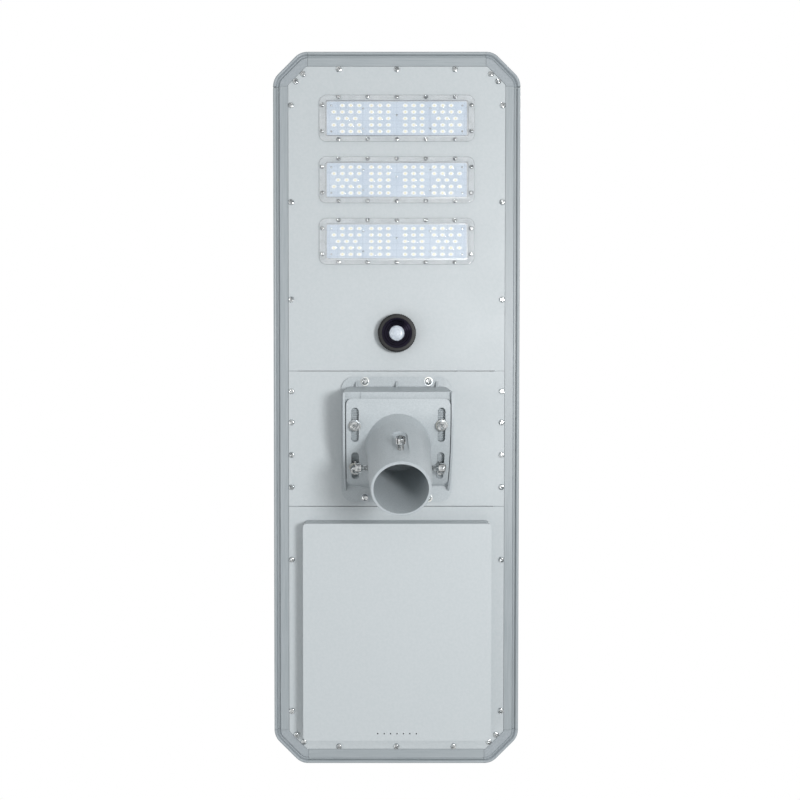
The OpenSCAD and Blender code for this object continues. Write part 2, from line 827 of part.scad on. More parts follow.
// Small rib from the body's lamp-end wall down to the base plate
module gusset(x) {
    rotate([90, 0, 90]) translate([0, 0, x - gusset_t / 2]) linear_extrude(gusset_t)
        polygon([
            [body_back_y - 3, -base_t + 1], [body_back_y + gusset_foot, -base_t + 1],
            [body_back_y + gusset_foot, -base_t - 1], [body_back_y - 2, -base_t - gusset_h],
            [body_back_y - 3, -base_t - gusset_h]
        ]);
}

module base_screws() {
    color("#d8dadb") for (p = base_places()) translate([p[0], p[1], -base_t - washer_t])
        pan_screw(base_screw_r, base_head_r, base_head_h, base_t + washer_t + ledge_z + channel_t + nut_h + 1.5);
}

module base_washers() {
    color("#c4c7c9") for (p = base_places()) translate([p[0], p[1], 0]) difference() {
        pin(0, 0, base_washer_r, -base_t - washer_t, -base_t);
        pin(0, 0, base_screw_r + fit_gap, -base_t - washer_t - 1, 0);
    }
}

module base_nuts() {
    z = ledge_z + channel_t;
    color("#c4c7c9") for (p = base_places()) translate([p[0], p[1], z]) difference() {
        cylinder(r = nut_r, h = nut_h, $fn = 6);
        pin(0, 0, base_screw_r + thread_gap, -1, nut_h + 1);
    }
}

// Steel channel across both rails: it takes the load of the bracket
module cross_channel() {
    w = head_w - 2 * sheet_in;
    l = base_l + 2 * channel_over;
    color("#9aa0a4") difference() {
        union() {
            translate([0, base_y, 0]) slab(ledge_z, ledge_z + channel_t) square([w, l], center = true);
            for (y = [base_y - l / 2, base_y + l / 2 - channel_t]) translate([-w / 2, y, ledge_z])
                cube([w, channel_t, channel_t + channel_fold]);
            // pads that reach down to the sheet round each screw
            for (p = base_places()) pin(p[0], p[1], pad_r, sheet_t, ledge_z + 1);
        }
        for (p = base_places()) pin(p[0], p[1], base_screw_r + fit_gap, 0, ledge_z + channel_t + 1);
        for (p = bracket_places) pin(p[0], p[1], panel_screw_r + fit_gap, 0, ledge_z + channel_t + 1);
    }
}

// ---- pole sleeve ----

// Slot round the hinge axis at x, centred on angle a
module curved_slot(x, a) {
    end = slot_half - asin(slot_w / 2 / flange_r);
    translate([x, 0, 0]) {
        band(flange_r - flange_t - 3, flange_r + 3, slot_w - 2 * slot_relief, a - end, a + end);
        for (s = [-1, 1]) at_angle(a + s * end) translate([0, 0, -flange_r - 3])
            cylinder(r = slot_w / 2, h = flange_t + 6);
    }
}

module sleeve_shape() {
    rotate_extrude($fn = 96) mirror([0, 1]) polygon([
        [0, flange_r - flange_t - 12], [flare_r, flange_r - flange_t - 12], [flare_r, flange_r - 6],
        [root_r + 1.4, flange_r + 4], [root_r, flange_r + 12], [waist_r, mouth_s - waist_up],
        [mouth_r, mouth_s - mouth_edge], [mouth_r - mouth_edge, mouth_s], [0, mouth_s]
    ]);
}

module pole_sleeve() {
    color("#b4babd") saddle_frame() difference() {
        union() {
            intersection() {
                band(flange_r - flange_t, flange_r, flange_w, -flange_half, flange_half);
                slab(-flange_r - 1, 0) rounded(flange_w, 2 * flange_r * sin(flange_half), 8);
            }
            sleeve_shape();
        }
        axis_cylinder(flange_r - flange_t, body_w);
        translate([0, 0, -mouth_s - 1]) cylinder(r = bore_r, h = sleeve_l - sleeve_floor + flange_t + 1, $fn = 96);
        for (s = [-1, 1], a = [-1, 1]) curved_slot(s * slot_x, a * slot_mid);
        // threaded holes of the clamp screws
        translate([0, 0, side_screw_up - mouth_s]) rotate([0, 90, 0])
            cylinder(r = bolt_r + thread_gap, h = 4 * mouth_r, center = true);
        translate([0, 0, front_screw_up - mouth_s]) rotate([-90, 0, 0])
            cylinder(r = bolt_r + thread_gap, h = 2 * mouth_r);
        // flat of the front clamp screw, arched at its upper end
        translate([0, face_floor, flat_up - face_r - mouth_s]) rotate([-90, 0, 0]) cylinder(r = face_r, h = 20);
        translate([-face_r, face_floor, flat_low - mouth_s]) cube([2 * face_r, 20, flat_up - face_r - flat_low]);
    }
}

// Socket-head screw standing off a seat at radius r, pointing to the axis along -X
module clamp_screw(seat) {
    translate([seat + clamp_travel, 0, 0]) rotate([0, -90, 0])
        cap_screw(bolt_r, bolt_head_r, bolt_head_h, seat + clamp_travel - bore_r);
}

module clamp_screw_right() {
    color("#d8dadb") saddle_frame() translate([0, 0, side_screw_up - mouth_s]) clamp_screw(side_seat);
}

module clamp_screw_left() {
    color("#d8dadb") saddle_frame() translate([0, 0, side_screw_up - mouth_s]) mirror([1, 0, 0])
        clamp_screw(side_seat);
}

module clamp_screw_front() {
    color("#d8dadb") saddle_frame() translate([0, 0, front_screw_up - mouth_s]) rotate([0, 0, 90])
        clamp_screw(front_seat);
}

module tilt_bolts() {
    color("#d8dadb") tilt_places() translate([0, 0, -flange_r - slide_gap - bolt_washer_t])
        cap_screw(bolt_r, bolt_head_r, bolt_head_h, bolt_l);
}

module tilt_washers() {
    color("#c4c7c9") tilt_places() difference() {
        pin(0, 0, bolt_washer_r, -flange_r - slide_gap - bolt_washer_t, -flange_r - slide_gap);
        pin(0, 0, bolt_r + fit_gap, -flange_r - 5, -flange_r + 5);
    }
}

// ---- battery, controller and leads ----

// Flange of the battery cover, above the panel and cut back from the ledges at its corners
module box_flange_plan() {
    intersection() {
        translate([0, box_y]) rounded(box_w + 2 * box_flange, box_l + 2 * box_flange, box_r);
        outline(rail_w + ledge_w + 2 * fit_gap);
    }
}

module battery_cover() {
    color("#c9cdcf") difference() {
        union() {
            translate([0, box_y, 0]) slab(-box_h, sheet_t + box_wall) rounded(box_w, box_l, box_r);
            slab(sheet_t, sheet_t + box_wall) box_flange_plan();
        }
        translate([0, box_y, 0]) {
            slab(box_wall - box_h, sheet_t + box_wall + 1)
                rounded(box_w - 2 * box_wall, box_l - 2 * box_wall, box_r - box_wall);
            for (i = [0:vent_count - 1])
                pin((i - (vent_count - 1) / 2) * vent_pitch, vent_in - box_l / 2, vent_r,
                    -box_h - 1, 1 - box_h + box_wall);
        }
    }
}

// Middle of a column of cells
function column_x(i) = (i - (battery_columns - 1) / 2) * column_pitch;

module battery_tray() {
    color("#2a2c2e") translate([0, box_y, 0]) {
        slab(tray_z, tray_z + tray_wall) square([tray_w, tray_l], center = true);
        slab(tray_z, tray_z + tray_h) difference() {
            square([tray_w, tray_l], center = true);
            for (i = [0:battery_columns - 1]) translate([column_x(i), 0])
                square([column_pitch - tray_wall, tray_l - 2 * tray_wall], center = true);
        }
    }
}

module battery_cells() {
    color("#3a6ea5") for (i = [0:battery_columns - 1], j = [0:battery_rows - 1])
        translate([column_x(i), box_y + (j - (battery_rows - 1) / 2) * row_pitch, battery_z])
            rotate([0, 90, 0]) cylinder(r = battery_r, h = battery_cell_l, center = true);
}

module battery_straps() {
    top = battery_z + battery_r + slide_gap;
    color("#b9bec2") for (i = [0:battery_columns - 1])
        translate([column_x(i) - strap_w / 2, box_y - tray_l / 2 - strap_t, tray_z]) {
            cube([strap_w, strap_t, top + strap_t - tray_z]);
            translate([0, tray_l + strap_t, 0]) cube([strap_w, strap_t, top + strap_t - tray_z]);
            translate([0, 0, top - tray_z]) cube([strap_w, tray_l + 2 * strap_t, strap_t]);
        }
}

module charge_controller() {
    color("#8f969b") translate([controller_x, sensor_y, 0]) difference() {
        union() {
            slab(sheet_t, sheet_t + controller_h) rounded(controller_w, controller_l, 4);
            slab(sheet_t, sheet_t + 2) rounded(controller_w, controller_l + 16, 4);
        }
        slab(sheet_t + 2, sheet_t + controller_h - 2) rounded(controller_w - 4, controller_l - 4, 2);
    }
}

// Smooth points along a route: a uniform quadratic curve through the middles of its legs
function leg_mid(p, i) = (p[i] + p[i + 1]) / 2;
function curve_point(a, b, c, t) = a * pow(1 - t, 2) + b * 2 * t * (1 - t) + c * pow(t, 2);
function smooth(p, n) = concat(
    [p[0]],
    [for (i = [1:len(p) - 2]) for (k = [0:n - 1]) curve_point(leg_mid(p, i - 1), p[i], leg_mid(p, i), k / n)],
    [leg_mid(p, len(p) - 2), p[len(p) - 1]]
);
function unit(v) = v / norm(v);
function along(p, i) = unit(p[min(i + 1, len(p) - 1)] - p[max(i - 1, 0)]);
function ring(p, i, r) = let (
    t = along(p, i),
    side = unit(cross(t, [0, 0, 1])),
    up = cross(side, t)
) [for (k = [0:lead_sides - 1]) p[i] + r * (cos(k * 360 / lead_sides) * side + sin(k * 360 / lead_sides) * up)];

// A lead of radius r along a route
module lead(route, r) {
    p = smooth(route, 3);
    n = lead_sides;
    last = len(p) - 1;
    polyhedron(
        points = [for (i = [0:last]) each ring(p, i, r)],
        faces = concat(
            [[for (k = [0:n - 1]) k]],
            [for (i = [0:last - 1]) for (k = [0:n - 1])
                [i * n + k, (i + 1) * n + k, (i + 1) * n + (k + 1) % n, i * n + (k + 1) % n]],
            [[for (k = [n - 1:-1:0]) last * n + k]]
        )
    );
}

// One lead from the controller to the end of each heat spreader
module lamp_leads() {
    color("#b02a2a") for (i = [0:module_count - 1]) {
        x = module_lead_x - 6 * (module_count - 1 - i);
        y = led_side[i];
        start_x = controller_x - 30 + 10 * i;
        lead([
            [start_x, sensor_y + controller_l / 2, 12], [start_x, sensor_y + controller_l / 2 + 14, 12],
            [x, sensor_y + controller_l / 2 + 34, 7], [x, y - 30, 7], [x, y - 8, 6], [x + 2, y, 3.6],
            [-module_w / 2, y, 3.6]
        ], lead_r - 0.5);
    }
}

module sensor_lead() {
    color("#3b3f44") lead(sensor_lead_path, lead_r - 0.5);
}

module panel_lead() {
    color("#1b1b1b") lead(panel_lead_path, lead_r);
}

module battery_lead() {
    color("#1b1b1b") lead(battery_lead_path, lead_r);
}

// ---- the nodes ----

placed() color("#c8ccd0") side_rail(-1);  // side_rail_left
placed() color("#c8ccd0") side_rail(1);  // side_rail_right
placed() color("#c8ccd0") end_rail(1);  // end_rail_lamp
placed() color("#c8ccd0") end_rail(-1);  // end_rail_battery
for (i = [0:3]) placed() color("#bcc1c4") corner(i % 2 == 0 ? -1 : 1, i < 2 ? 1 : -1);
placed() lamp_panel();
placed() bracket_panel();
placed() battery_panel();
placed() battery_cover();
placed() panel_screws();
placed() solar_glass();
placed() solar_cells();
placed() back_sheet();
placed() glass_seal();
placed() junction_box();
for (i = [1:module_count]) placed() lens_cover(i);
for (i = [1:module_count]) placed() lens_gasket(i);
for (i = [1:module_count]) placed() led_board(i);
for (i = [1:module_count]) placed() led_chips(i);
for (i = [1:module_count]) placed() heat_spreader(i);
placed() lens_screws();
placed() sensor_body();
placed() sensor_ring();
placed() sensor_hood();
placed() sensor_lens();
placed() sensor_board();
placed() sensor_gasket();
placed() bracket_base();
placed() base_screws();
placed() base_washers();
placed() base_nuts();
placed() cross_channel();
placed() pole_sleeve();
placed() tilt_bolts();
placed() tilt_washers();
placed() clamp_screw_left();
placed() clamp_screw_right();
placed() clamp_screw_front();
placed() battery_cells();
placed() battery_tray();
placed() battery_straps();
placed() charge_controller();
placed() lamp_leads();
placed() sensor_lead();
placed() panel_lead();
placed() battery_lead();
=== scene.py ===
import json
import math
import bmesh
import bpy
from mathutils import Matrix, Vector


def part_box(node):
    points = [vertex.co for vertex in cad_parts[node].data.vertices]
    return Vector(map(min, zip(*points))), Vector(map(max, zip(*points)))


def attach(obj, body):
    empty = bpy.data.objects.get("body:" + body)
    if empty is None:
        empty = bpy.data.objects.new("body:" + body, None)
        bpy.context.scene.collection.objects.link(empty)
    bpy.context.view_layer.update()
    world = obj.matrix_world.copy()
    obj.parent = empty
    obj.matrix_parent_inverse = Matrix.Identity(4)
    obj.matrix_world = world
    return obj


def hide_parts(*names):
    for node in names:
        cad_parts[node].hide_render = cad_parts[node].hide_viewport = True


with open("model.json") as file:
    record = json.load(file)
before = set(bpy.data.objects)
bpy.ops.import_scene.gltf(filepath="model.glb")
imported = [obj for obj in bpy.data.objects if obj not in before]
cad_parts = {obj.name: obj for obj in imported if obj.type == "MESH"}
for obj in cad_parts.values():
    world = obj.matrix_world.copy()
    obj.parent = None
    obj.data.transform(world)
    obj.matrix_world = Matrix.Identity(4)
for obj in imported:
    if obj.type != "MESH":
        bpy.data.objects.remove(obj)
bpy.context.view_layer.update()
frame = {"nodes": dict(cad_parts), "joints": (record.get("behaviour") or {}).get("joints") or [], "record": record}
record = frame["record"]
mm = 0.001
bodyOf = {n: b for b, members in record["behaviour"]["bodies"].items() for n in members}
slotOf = {s["node"]: s["material_slot"] for s in record["subparts"]}
headY = (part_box("end_rail_lamp")[1].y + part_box("end_rail_battery")[0].y) / 2
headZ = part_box("lamp_panel")[0].z  # outer face of the underside sheets
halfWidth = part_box("side_rail_right")[1].x
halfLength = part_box("end_rail_lamp")[1].y - headY
hinge = Vector(next(j["pos_m"] for j in frame["joints"] if j["name"] == "head_tilt"))
down = Vector(record["mounts"][0]["axis"]).normalized()
tilt = math.atan2(-down.y, -down.z)
saddle = Matrix.Translation(hinge) @ Matrix.Rotation(-tilt, 4, "X")
print("frame loaded")

studio = {
    "aim": (0.043, 0.015, 1.3),  # across, along from the middle of the head, and the distance below it
    "pitch": 1.35,
    "lens": 41.6,
    "film": 36,
    "shift": 0.0425,
    "skySeen": 1.0,
    "skyDiffuse": 0.56,
    "skyDark": 0.1,  # the unlit sides of the studio, as gloss shows them
    "darkBelow": 0.1,  # how steep a glossy ray is where the dark ends and where the full light starts
    "brightAbove": 0.6,
    "floorDrop": 1.95,
    "floorSize": 16,
}
camera = bpy.data.objects.new("camera", bpy.data.cameras.new("camera"))
bpy.context.scene.collection.objects.link(camera)
bpy.context.scene.camera = camera
camera.data.lens = studio["lens"]
camera.data.sensor_width = studio["film"]
camera.data.shift_x = studio["shift"]
pitch = math.radians(studio["pitch"])
sightLine = Vector((0, -math.sin(pitch), math.cos(pitch)))
camera.rotation_mode = "QUATERNION"
camera.rotation_quaternion = sightLine.to_track_quat("-Z", "Y")
camera.location = Vector((studio["aim"][0], headY + studio["aim"][1], headZ)) - studio["aim"][2] * sightLine


def toLinear(hexColour):
    # sRGB hex to the linear colour that the shaders take
    parts = [int(hexColour[i:i + 2], 16) / 255 for i in (1, 3, 5)]
    return [p / 12.92 if p <= 0.04045 else ((p + 0.055) / 1.055) ** 2.4 for p in parts] + [1]


def addNode(tree, kind, values=None, links=None, **settings):
    # one node: its settings, its input values and what feeds its inputs
    node = tree.nodes.new(kind)
    for name, value in settings.items():
        setattr(node, name, value)
    for key, value in (values or {}).items():
        node.inputs[key].default_value = value
    for key, source in (links or {}).items():
        tree.links.new(source, node.inputs[key])
    return node


# a white cyclorama whose soft light is weaker than it looks, so that the lamps shape the object
world = bpy.data.worlds.new("studioSky")
bpy.context.scene.world = world
world.use_nodes = True
sky = world.node_tree.nodes["Background"]
sky.inputs["Color"].default_value = toLinear("#ffffff")
seen = addNode(world.node_tree, "ShaderNodeLightPath")
level = addNode(world.node_tree, "ShaderNodeMapRange",
                {"To Min": studio["skySeen"], "To Max": studio["skyDiffuse"]},
                {"Value": seen.outputs["Is Diffuse Ray"]})
direction = addNode(world.node_tree, "ShaderNodeTexCoord")
upDown = addNode(world.node_tree, "ShaderNodeSeparateXYZ", links={"Vector": direction.outputs["Generated"]})
steep = addNode(world.node_tree, "ShaderNodeMath", links={0: upDown.outputs["Z"]}, operation="ABSOLUTE")
glossy = addNode(world.node_tree, "ShaderNodeMapRange",
                 {"From Min": studio["darkBelow"], "From Max": studio["brightAbove"],
                  "To Min": studio["skyDark"]}, {"Value": steep.outputs[0]})
strength = addNode(world.node_tree, "ShaderNodeMix", links={
    0: seen.outputs["Is Glossy Ray"], 2: level.outputs["Result"], 3: glossy.outputs["Result"]})
world.node_tree.links.new(strength.outputs[0], sky.inputs["Strength"])
bpy.context.scene.view_settings.view_transform = "Standard"

lights = {
    # place from the middle of the head, size and power in watts
    "keyLight": {"place": (-0.68, 0.15, -1.85), "size": 0.42, "power": 23},
    "fillLight": {"place": (1.6, -0.6, -1.6), "size": 1.8, "power": 8},
    "topLight": {"place": (-1.2, 1.2, 2.4), "size": 1.8, "power": 40},
}
for name, l in lights.items():
    lamp = bpy.data.lights.new(name, "AREA")
    lamp.shape = "DISK"
    lamp.size = l["size"]
    lamp.energy = l["power"]
    holder = bpy.data.objects.new(name, lamp)
    bpy.context.scene.collection.objects.link(holder)
    middle = Vector((0, headY, headZ))
    holder.location = middle + Vector(l["place"])
    holder.rotation_mode = "QUATERNION"
    holder.rotation_quaternion = (middle - holder.location).to_track_quat("-Z", "Y")
print("camera and lights placed")

finishes = {}
lumpFit = 0.6  # a noise texture's scale times the size of its lumps


def makeFinish(name, colours, grain, relief, shaderValues, gloss=None, patch=10, drawn=(1, 1, 1), slots=()):
    # two colours that wander over the grain, a gloss that wanders over wider patches, and relief laid
    # one size over the other: sizes are millimetres, and drawn stretches them along an axis
    material = bpy.data.materials.new(name)
    material.use_nodes = True
    tree = material.node_tree
    shader = tree.nodes["Principled BSDF"]
    for key, value in shaderValues.items():
        shader.inputs[key].default_value = value
    place = addNode(tree, "ShaderNodeTexCoord").outputs["Object"]
    stretched = addNode(tree, "ShaderNodeMapping", {"Scale": [1 / d for d in drawn]}, {"Vector": place})
    along = stretched.outputs["Vector"]
    speck = addNode(tree, "ShaderNodeTexNoise", {"Scale": lumpFit / (grain * mm), "Detail": 3},
                    {"Vector": along})
    ramp = addNode(tree, "ShaderNodeValToRGB", links={"Fac": speck.outputs["Fac"]})
    for stop, position, colour in zip(ramp.color_ramp.elements, (0.35, 0.65), colours):
        stop.position = position
        stop.color = toLinear(colour)
    tree.links.new(ramp.outputs["Color"], shader.inputs["Base Color"])
    if gloss:
        cloud = addNode(tree, "ShaderNodeTexNoise", {"Scale": lumpFit / (patch * mm), "Detail": 2},
                        {"Vector": along})
        spread = addNode(tree, "ShaderNodeMapRange", {"From Min": 0.3, "From Max": 0.7, "To Min": gloss[0],
                                                      "To Max": gloss[1]}, {"Value": cloud.outputs["Fac"]})
        tree.links.new(spread.outputs["Result"], shader.inputs["Roughness"])
    under = {}
    for size, height in relief:
        lump = addNode(tree, "ShaderNodeTexNoise", {"Scale": lumpFit / (size * mm), "Detail": 1.5},
                       {"Vector": along})
        bump = addNode(tree, "ShaderNodeBump", {"Distance": height * mm, "Strength": 0.8},
                       {"Height": lump.outputs["Fac"], **under})
        under = {"Normal": bump.outputs["Normal"]}
    tree.links.new(under["Normal"], shader.inputs["Normal"])
    for slot in slots:
        finishes[slot] = material
    return tree, shader, place, ramp, bump


# polyester powder coat on steel sheet, sprayed and baked: satin, with a fine orange peel
makeFinish("powderCoatSilver", ("#b2b9bc", "#b6bcbf"), 2.2, ((2.6, 0.018), (0.9, 0.006)),
           {"IOR": 1.5}, (0.46, 0.56), 40, slots=["coated_sheet"])

# the same coat over a die casting: a little darker, with the casting's soft waves under it
makeFinish("coatedCasting", ("#8f979c", "#9aa1a6"), 1.6, ((11, 0.12), (1.6, 0.025)),
           {"IOR": 1.5}, (0.38, 0.5), 14, slots=["frame_casting"])

# the bracket's casting: a paler coat, blasted before it was sprayed
makeFinish("blastedCasting", ("#a3abaf", "#adb4b8"), 1.2, ((16, 0.12), (1.2, 0.02)),
           {"IOR": 1.5}, (0.36, 0.48), 18, slots=["bracket_casting"])

# powder-coated aluminium extrusion: satin, with the faint lines of the die along the rail
for name, drawn, slot in (("coatedRail", (0.03, 1, 0.03), "frame_extrusion"),
                          ("coatedEndRail", (1, 0.03, 0.03), "endRail")):
    makeFinish(name, ("#929a9e", "#9ba2a6"), 30, ((30, 0.012), (10, 0.008)),
               {"IOR": 1.5}, (0.36, 0.46), 30, drawn, [slot])

# A2 stainless screws, turned and rolled: painted glints, the colour swinging between dark and bright patches drawn
# coarse enough to show, standing in for reflections
makeFinish("stainlessPaintedGlints", ("#8a9093", "#f2f4f4"), 2.6, ((1.6, 0.12),),
           {"Metallic": 1.0}, (0.1, 0.2), 1.2, slots=["stainless_steel"])

# zinc-plated steel: blue-white passivate with a slightly yellow cloud
makeFinish("zincPlate", ("#b3bac1", "#c9c8c0"), 7, ((1.5, 0.01),),
           {"Metallic": 1.0}, (0.28, 0.42), 3, slots=["zinc_plated_steel"])

# white back film: matt, faintly embossed by the laminator's fabric
makeFinish("whiteBackFilm", ("#e3e6e6", "#eef0ef"), 1.5, ((1.5, 0.02),),
           {"IOR": 1.45}, (0.5, 0.6), slots=["back_film"])

# silicone, run in as a bead: soft, a little glossy, never quite flat
makeFinish("paleSilicone", ("#ccd2d5", "#d8dde0"), 6, ((6, 0.1),),
           {"IOR": 1.41, "Subsurface Weight": 0.15, "Subsurface Radius": (0.0012, 0.0012, 0.0012)},
           (0.35, 0.45), slots=["silicone"])

# moulded black ABS: spark-eroded grain that scatters the light
makeFinish("mouldedBlackAbs", ("#070708", "#0f1011"), 0.9, ((0.9, 0.02),),
           {"IOR": 1.53, "Specular IOR Level": 0.3}, (0.3, 0.42), 5, slots=["black_plastic"])

# polished black PC/ABS: deep gloss with faint swirls
makeFinish("polishedBlackPlastic", ("#030305", "#0b0912"), 5, ((4, 0.006),),
           {"IOR": 1.55, "Specular IOR Level": 0.32, "Specular Tint": toLinear("#d8ccff")},
           (0.07, 0.13), 6, slots=["gloss_black_plastic"])

# LED phosphor gel, cured in its cup: warm, slightly milky
makeFinish("phosphorGel", ("#f3e6a6", "#fdf6d4"), 0.3, ((0.3, 0.006),),
           {"IOR": 1.46, "Subsurface Weight": 0.2, "Subsurface Radius": (0.0005, 0.0004, 0.0002)},
           (0.2, 0.3), 2, slots=["led_phosphor"])

# LED package and reflector: white ceramic-filled plastic; the white ovals are drawn larger than a real package, so
# that they also stand in for painted highlights of the domes
makeFinish("whiteLedPackageAndPaintedHighlight", ("#f2f5f6", "#fcfdfd"), 0.5, ((0.5, 0.006),),
           {"IOR": 1.6}, (0.28, 0.4), 3, slots=["ledPackage"])

# mill-finish aluminium: streaks of the die, dull between them
makeFinish("millAluminium", ("#b8bcbf", "#ced1d3"), 40, ((40, 0.015),),
           {"Metallic": 1.0}, (0.3, 0.46), 40, (1, 0.04, 0.04), ["heat_sink_aluminium"])

# milky polyethylene lens, thin enough to glow
makeFinish("milkyPolyethylene", ("#b6bec8", "#c6ced6"), 3, ((3, 0.008),),
           {"IOR": 1.54, "Subsurface Weight": 0.3, "Subsurface Radius": (0.002, 0.002, 0.002)},
           (0.22, 0.3), 4, slots=["sensor_lens_plastic"])

# black EPDM rubber: dull with a pale bloom
makeFinish("blackEpdm", ("#131416", "#26282a"), 8, ((1.2, 0.03),),
           {"IOR": 1.5}, (0.68, 0.8), slots=["black_rubber"])

# blue PVC shrink sleeve on a cell: glossy, drawn into faint rings
makeFinish("blueShrinkSleeve", ("#1a5596", "#276bb4"), 9, ((9, 0.05),),
           {"IOR": 1.53}, (0.22, 0.36), 9, (0.25, 1, 1), ["battery_can"])

# PVC insulation of the leads: extruded, glossy in streaks
makeFinish("redInsulation", ("#8f1414", "#ad2020"), 2.5, ((2.5, 0.02),), {"IOR": 1.53}, (0.34, 0.46),
           slots=["lead_red"])
makeFinish("blackInsulation", ("#141416", "#26262a"), 2.5, ((2.5, 0.02),), {"IOR": 1.53}, (0.34, 0.46),
           slots=["lead_black"])

# pale studio floor: matt painted board
makeFinish("studioFloor", ("#f0f1f1", "#f6f6f6"), 900, ((3, 0.02),), {}, (0.66, 0.74), 300, slots=["floor"])

# clear moulded polycarbonate, seen through face on and glossy: painted shade turns its base colour dark where it
# is seen at a grazing angle, on the rounded edges and the domes' sides
clear = {"facing": 0.13, "edge": 0.85, "paintedEdgeShade": "#3c454b", "from": 0.15, "to": 0.8}
tree, shader, place, ramp, bump = makeFinish(
    "clearPolycarbonate", ("#f4f9fd", "#fcfeff"), 22, ((22, 0.02),),
    {"IOR": 1.585, "Roughness": 0.05, "Coat Weight": 1.0, "Coat Roughness": 0.03},
    slots=["lens_polycarbonate"])
turned = addNode(tree, "ShaderNodeLayerWeight", {"Blend": 0.5})
veil = addNode(tree, "ShaderNodeMapRange", {
    "From Min": clear["from"], "From Max": clear["to"], "To Min": clear["facing"], "To Max": clear["edge"]},
    {"Value": turned.outputs["Facing"]})
tree.links.new(veil.outputs["Result"], shader.inputs["Alpha"])
# painted shade: the share of the dark edge colour grows as the surface turns away from the view
dark = addNode(tree, "ShaderNodeMapRange", {"From Min": clear["from"], "From Max": clear["to"]},
               {"Value": turned.outputs["Facing"]})
body = addNode(tree, "ShaderNodeMix", {7: toLinear(clear["paintedEdgeShade"])},
               {0: dark.outputs["Result"], 6: ramp.outputs["Color"]}, data_type="RGBA")
tree.links.new(body.outputs[2], shader.inputs["Base Color"])

# tempered low-iron glass with a fine prismatic face
tree, shader, place, ramp, bump = makeFinish(
    "temperedGlass", ("#26302e", "#2c3836"), 60, ((30, 0.01),),
    {"IOR": 1.52, "Roughness": 0.04, "Alpha": 0.16, "Coat Weight": 1.0, "Coat Roughness": 0.02},
    slots=["solar_glass"])
prisms = addNode(tree, "ShaderNodeTexVoronoi", {"Scale": 1 / (1.6 * mm)}, {"Vector": place})
pressed = addNode(tree, "ShaderNodeBump", {"Distance": 0.02 * mm, "Strength": 0.35},
                  {"Height": prisms.outputs["Distance"], "Normal": bump.outputs["Normal"]})
tree.links.new(pressed.outputs["Normal"], shader.inputs["Normal"])

# monocrystalline silicon: dark blue nitride coat, silver busbars along the cell and hairline fingers across,
# drawn wider than the real 0.05 mm so that they show
cell = {"busbarPitch": 31.5, "busbar": 1.2, "fingerPitch": 2.4, "finger": 0.35, "cellX": 157.5}
tree, shader, place, ramp, bump = makeFinish(
    "siliconCell", ("#0d1730", "#17264a"), 55, ((3, 0.01),),
    {"IOR": 1.5, "Coat Weight": 0.3}, (0.22, 0.34), 30, slots=["solar_cell"])
centred = addNode(tree, "ShaderNodeMapping", {"Location": (-cell["cellX"] / 2 * mm, -headY, 0)},
                  {"Vector": place})
axes = addNode(tree, "ShaderNodeSeparateXYZ", links={"Vector": centred.outputs["Vector"]})
bars = {}
for key, axis in (("busbar", "X"), ("finger", "Y")):
    turns = addNode(tree, "ShaderNodeMath", {1: 1 / (cell[key + "Pitch"] * mm)}, {0: axes.outputs[axis]},
                    operation="MULTIPLY")
    part = addNode(tree, "ShaderNodeMath", links={0: turns.outputs[0]}, operation="FRACT")
    away = addNode(tree, "ShaderNodeMath", {1: 0.5}, {0: part.outputs[0]}, operation="SUBTRACT")
    away = addNode(tree, "ShaderNodeMath", links={0: away.outputs[0]}, operation="ABSOLUTE")
    line = addNode(tree, "ShaderNodeMath", {1: cell[key] / cell[key + "Pitch"] / 2}, {0: away.outputs[0]},
                   operation="LESS_THAN")
    bars[key] = line.outputs[0]
silver = addNode(tree, "ShaderNodeMath", links={0: bars["busbar"], 1: bars["finger"]}, operation="MAXIMUM")
fingers = addNode(tree, "ShaderNodeMix", {7: toLinear("#3d4c6b")},
                  {0: bars["finger"], 6: ramp.outputs["Color"]}, data_type="RGBA")
busbars = addNode(tree, "ShaderNodeMix", {7: toLinear("#b9bfc6")}, {0: bars["busbar"], 6: fingers.outputs[2]},
                  data_type="RGBA")
tree.links.new(busbars.outputs[2], shader.inputs["Base Color"])
printed = addNode(tree, "ShaderNodeBump", {"Distance": 0.02 * mm, "Strength": 0.6},
                  {"Height": silver.outputs[0], "Normal": bump.outputs["Normal"]})
tree.links.new(printed.outputs["Normal"], shader.inputs["Normal"])

# white solder mask over copper: the lands show as faintly raised, paler blocks
board = {"landX": 11.8, "landY": 9, "gap": 0.5}
tree, shader, place, ramp, bump = makeFinish(
    "whiteSolderMask", ("#bccbdc", "#c6d4e3"), 18, ((1, 0.01),), {"IOR": 1.52}, (0.26, 0.36), 12,
    slots=["led_board"])
lands = addNode(tree, "ShaderNodeTexBrick", {
    "Scale": 1 / mm, "Brick Width": board["landX"], "Row Height": board["landY"], "Mortar Size": board["gap"],
    "Mortar Smooth": 0.6, "Mortar": toLinear("#aebfd2")}, {"Vector": place, "Color1": ramp.outputs["Color"],
                                                          "Color2": ramp.outputs["Color"]}, offset=0.0)
tree.links.new(lands.outputs["Color"], shader.inputs["Base Color"])

# green solder mask on glass-fibre board: the weave just shows
tree, shader, place, ramp, bump = makeFinish(
    "greenCircuitBoard", ("#1c6442", "#24754d"), 4, ((0.9, 0.01),), {"IOR": 1.55}, (0.26, 0.36), 6,
    slots=["circuit_board"])
weave = addNode(tree, "ShaderNodeTexChecker", {"Scale": 1 / (0.9 * mm), "Color2": toLinear("#195a3b")},
                {"Vector": place, "Color1": ramp.outputs["Color"]})
tree.links.new(weave.outputs["Color"], shader.inputs["Base Color"])

for name, obj in frame["nodes"].items():
    obj.data.materials.clear()
    obj.data.materials.append(finishes["endRail" if name.startswith("end_rail") else slotOf[name]])
print("materials made")

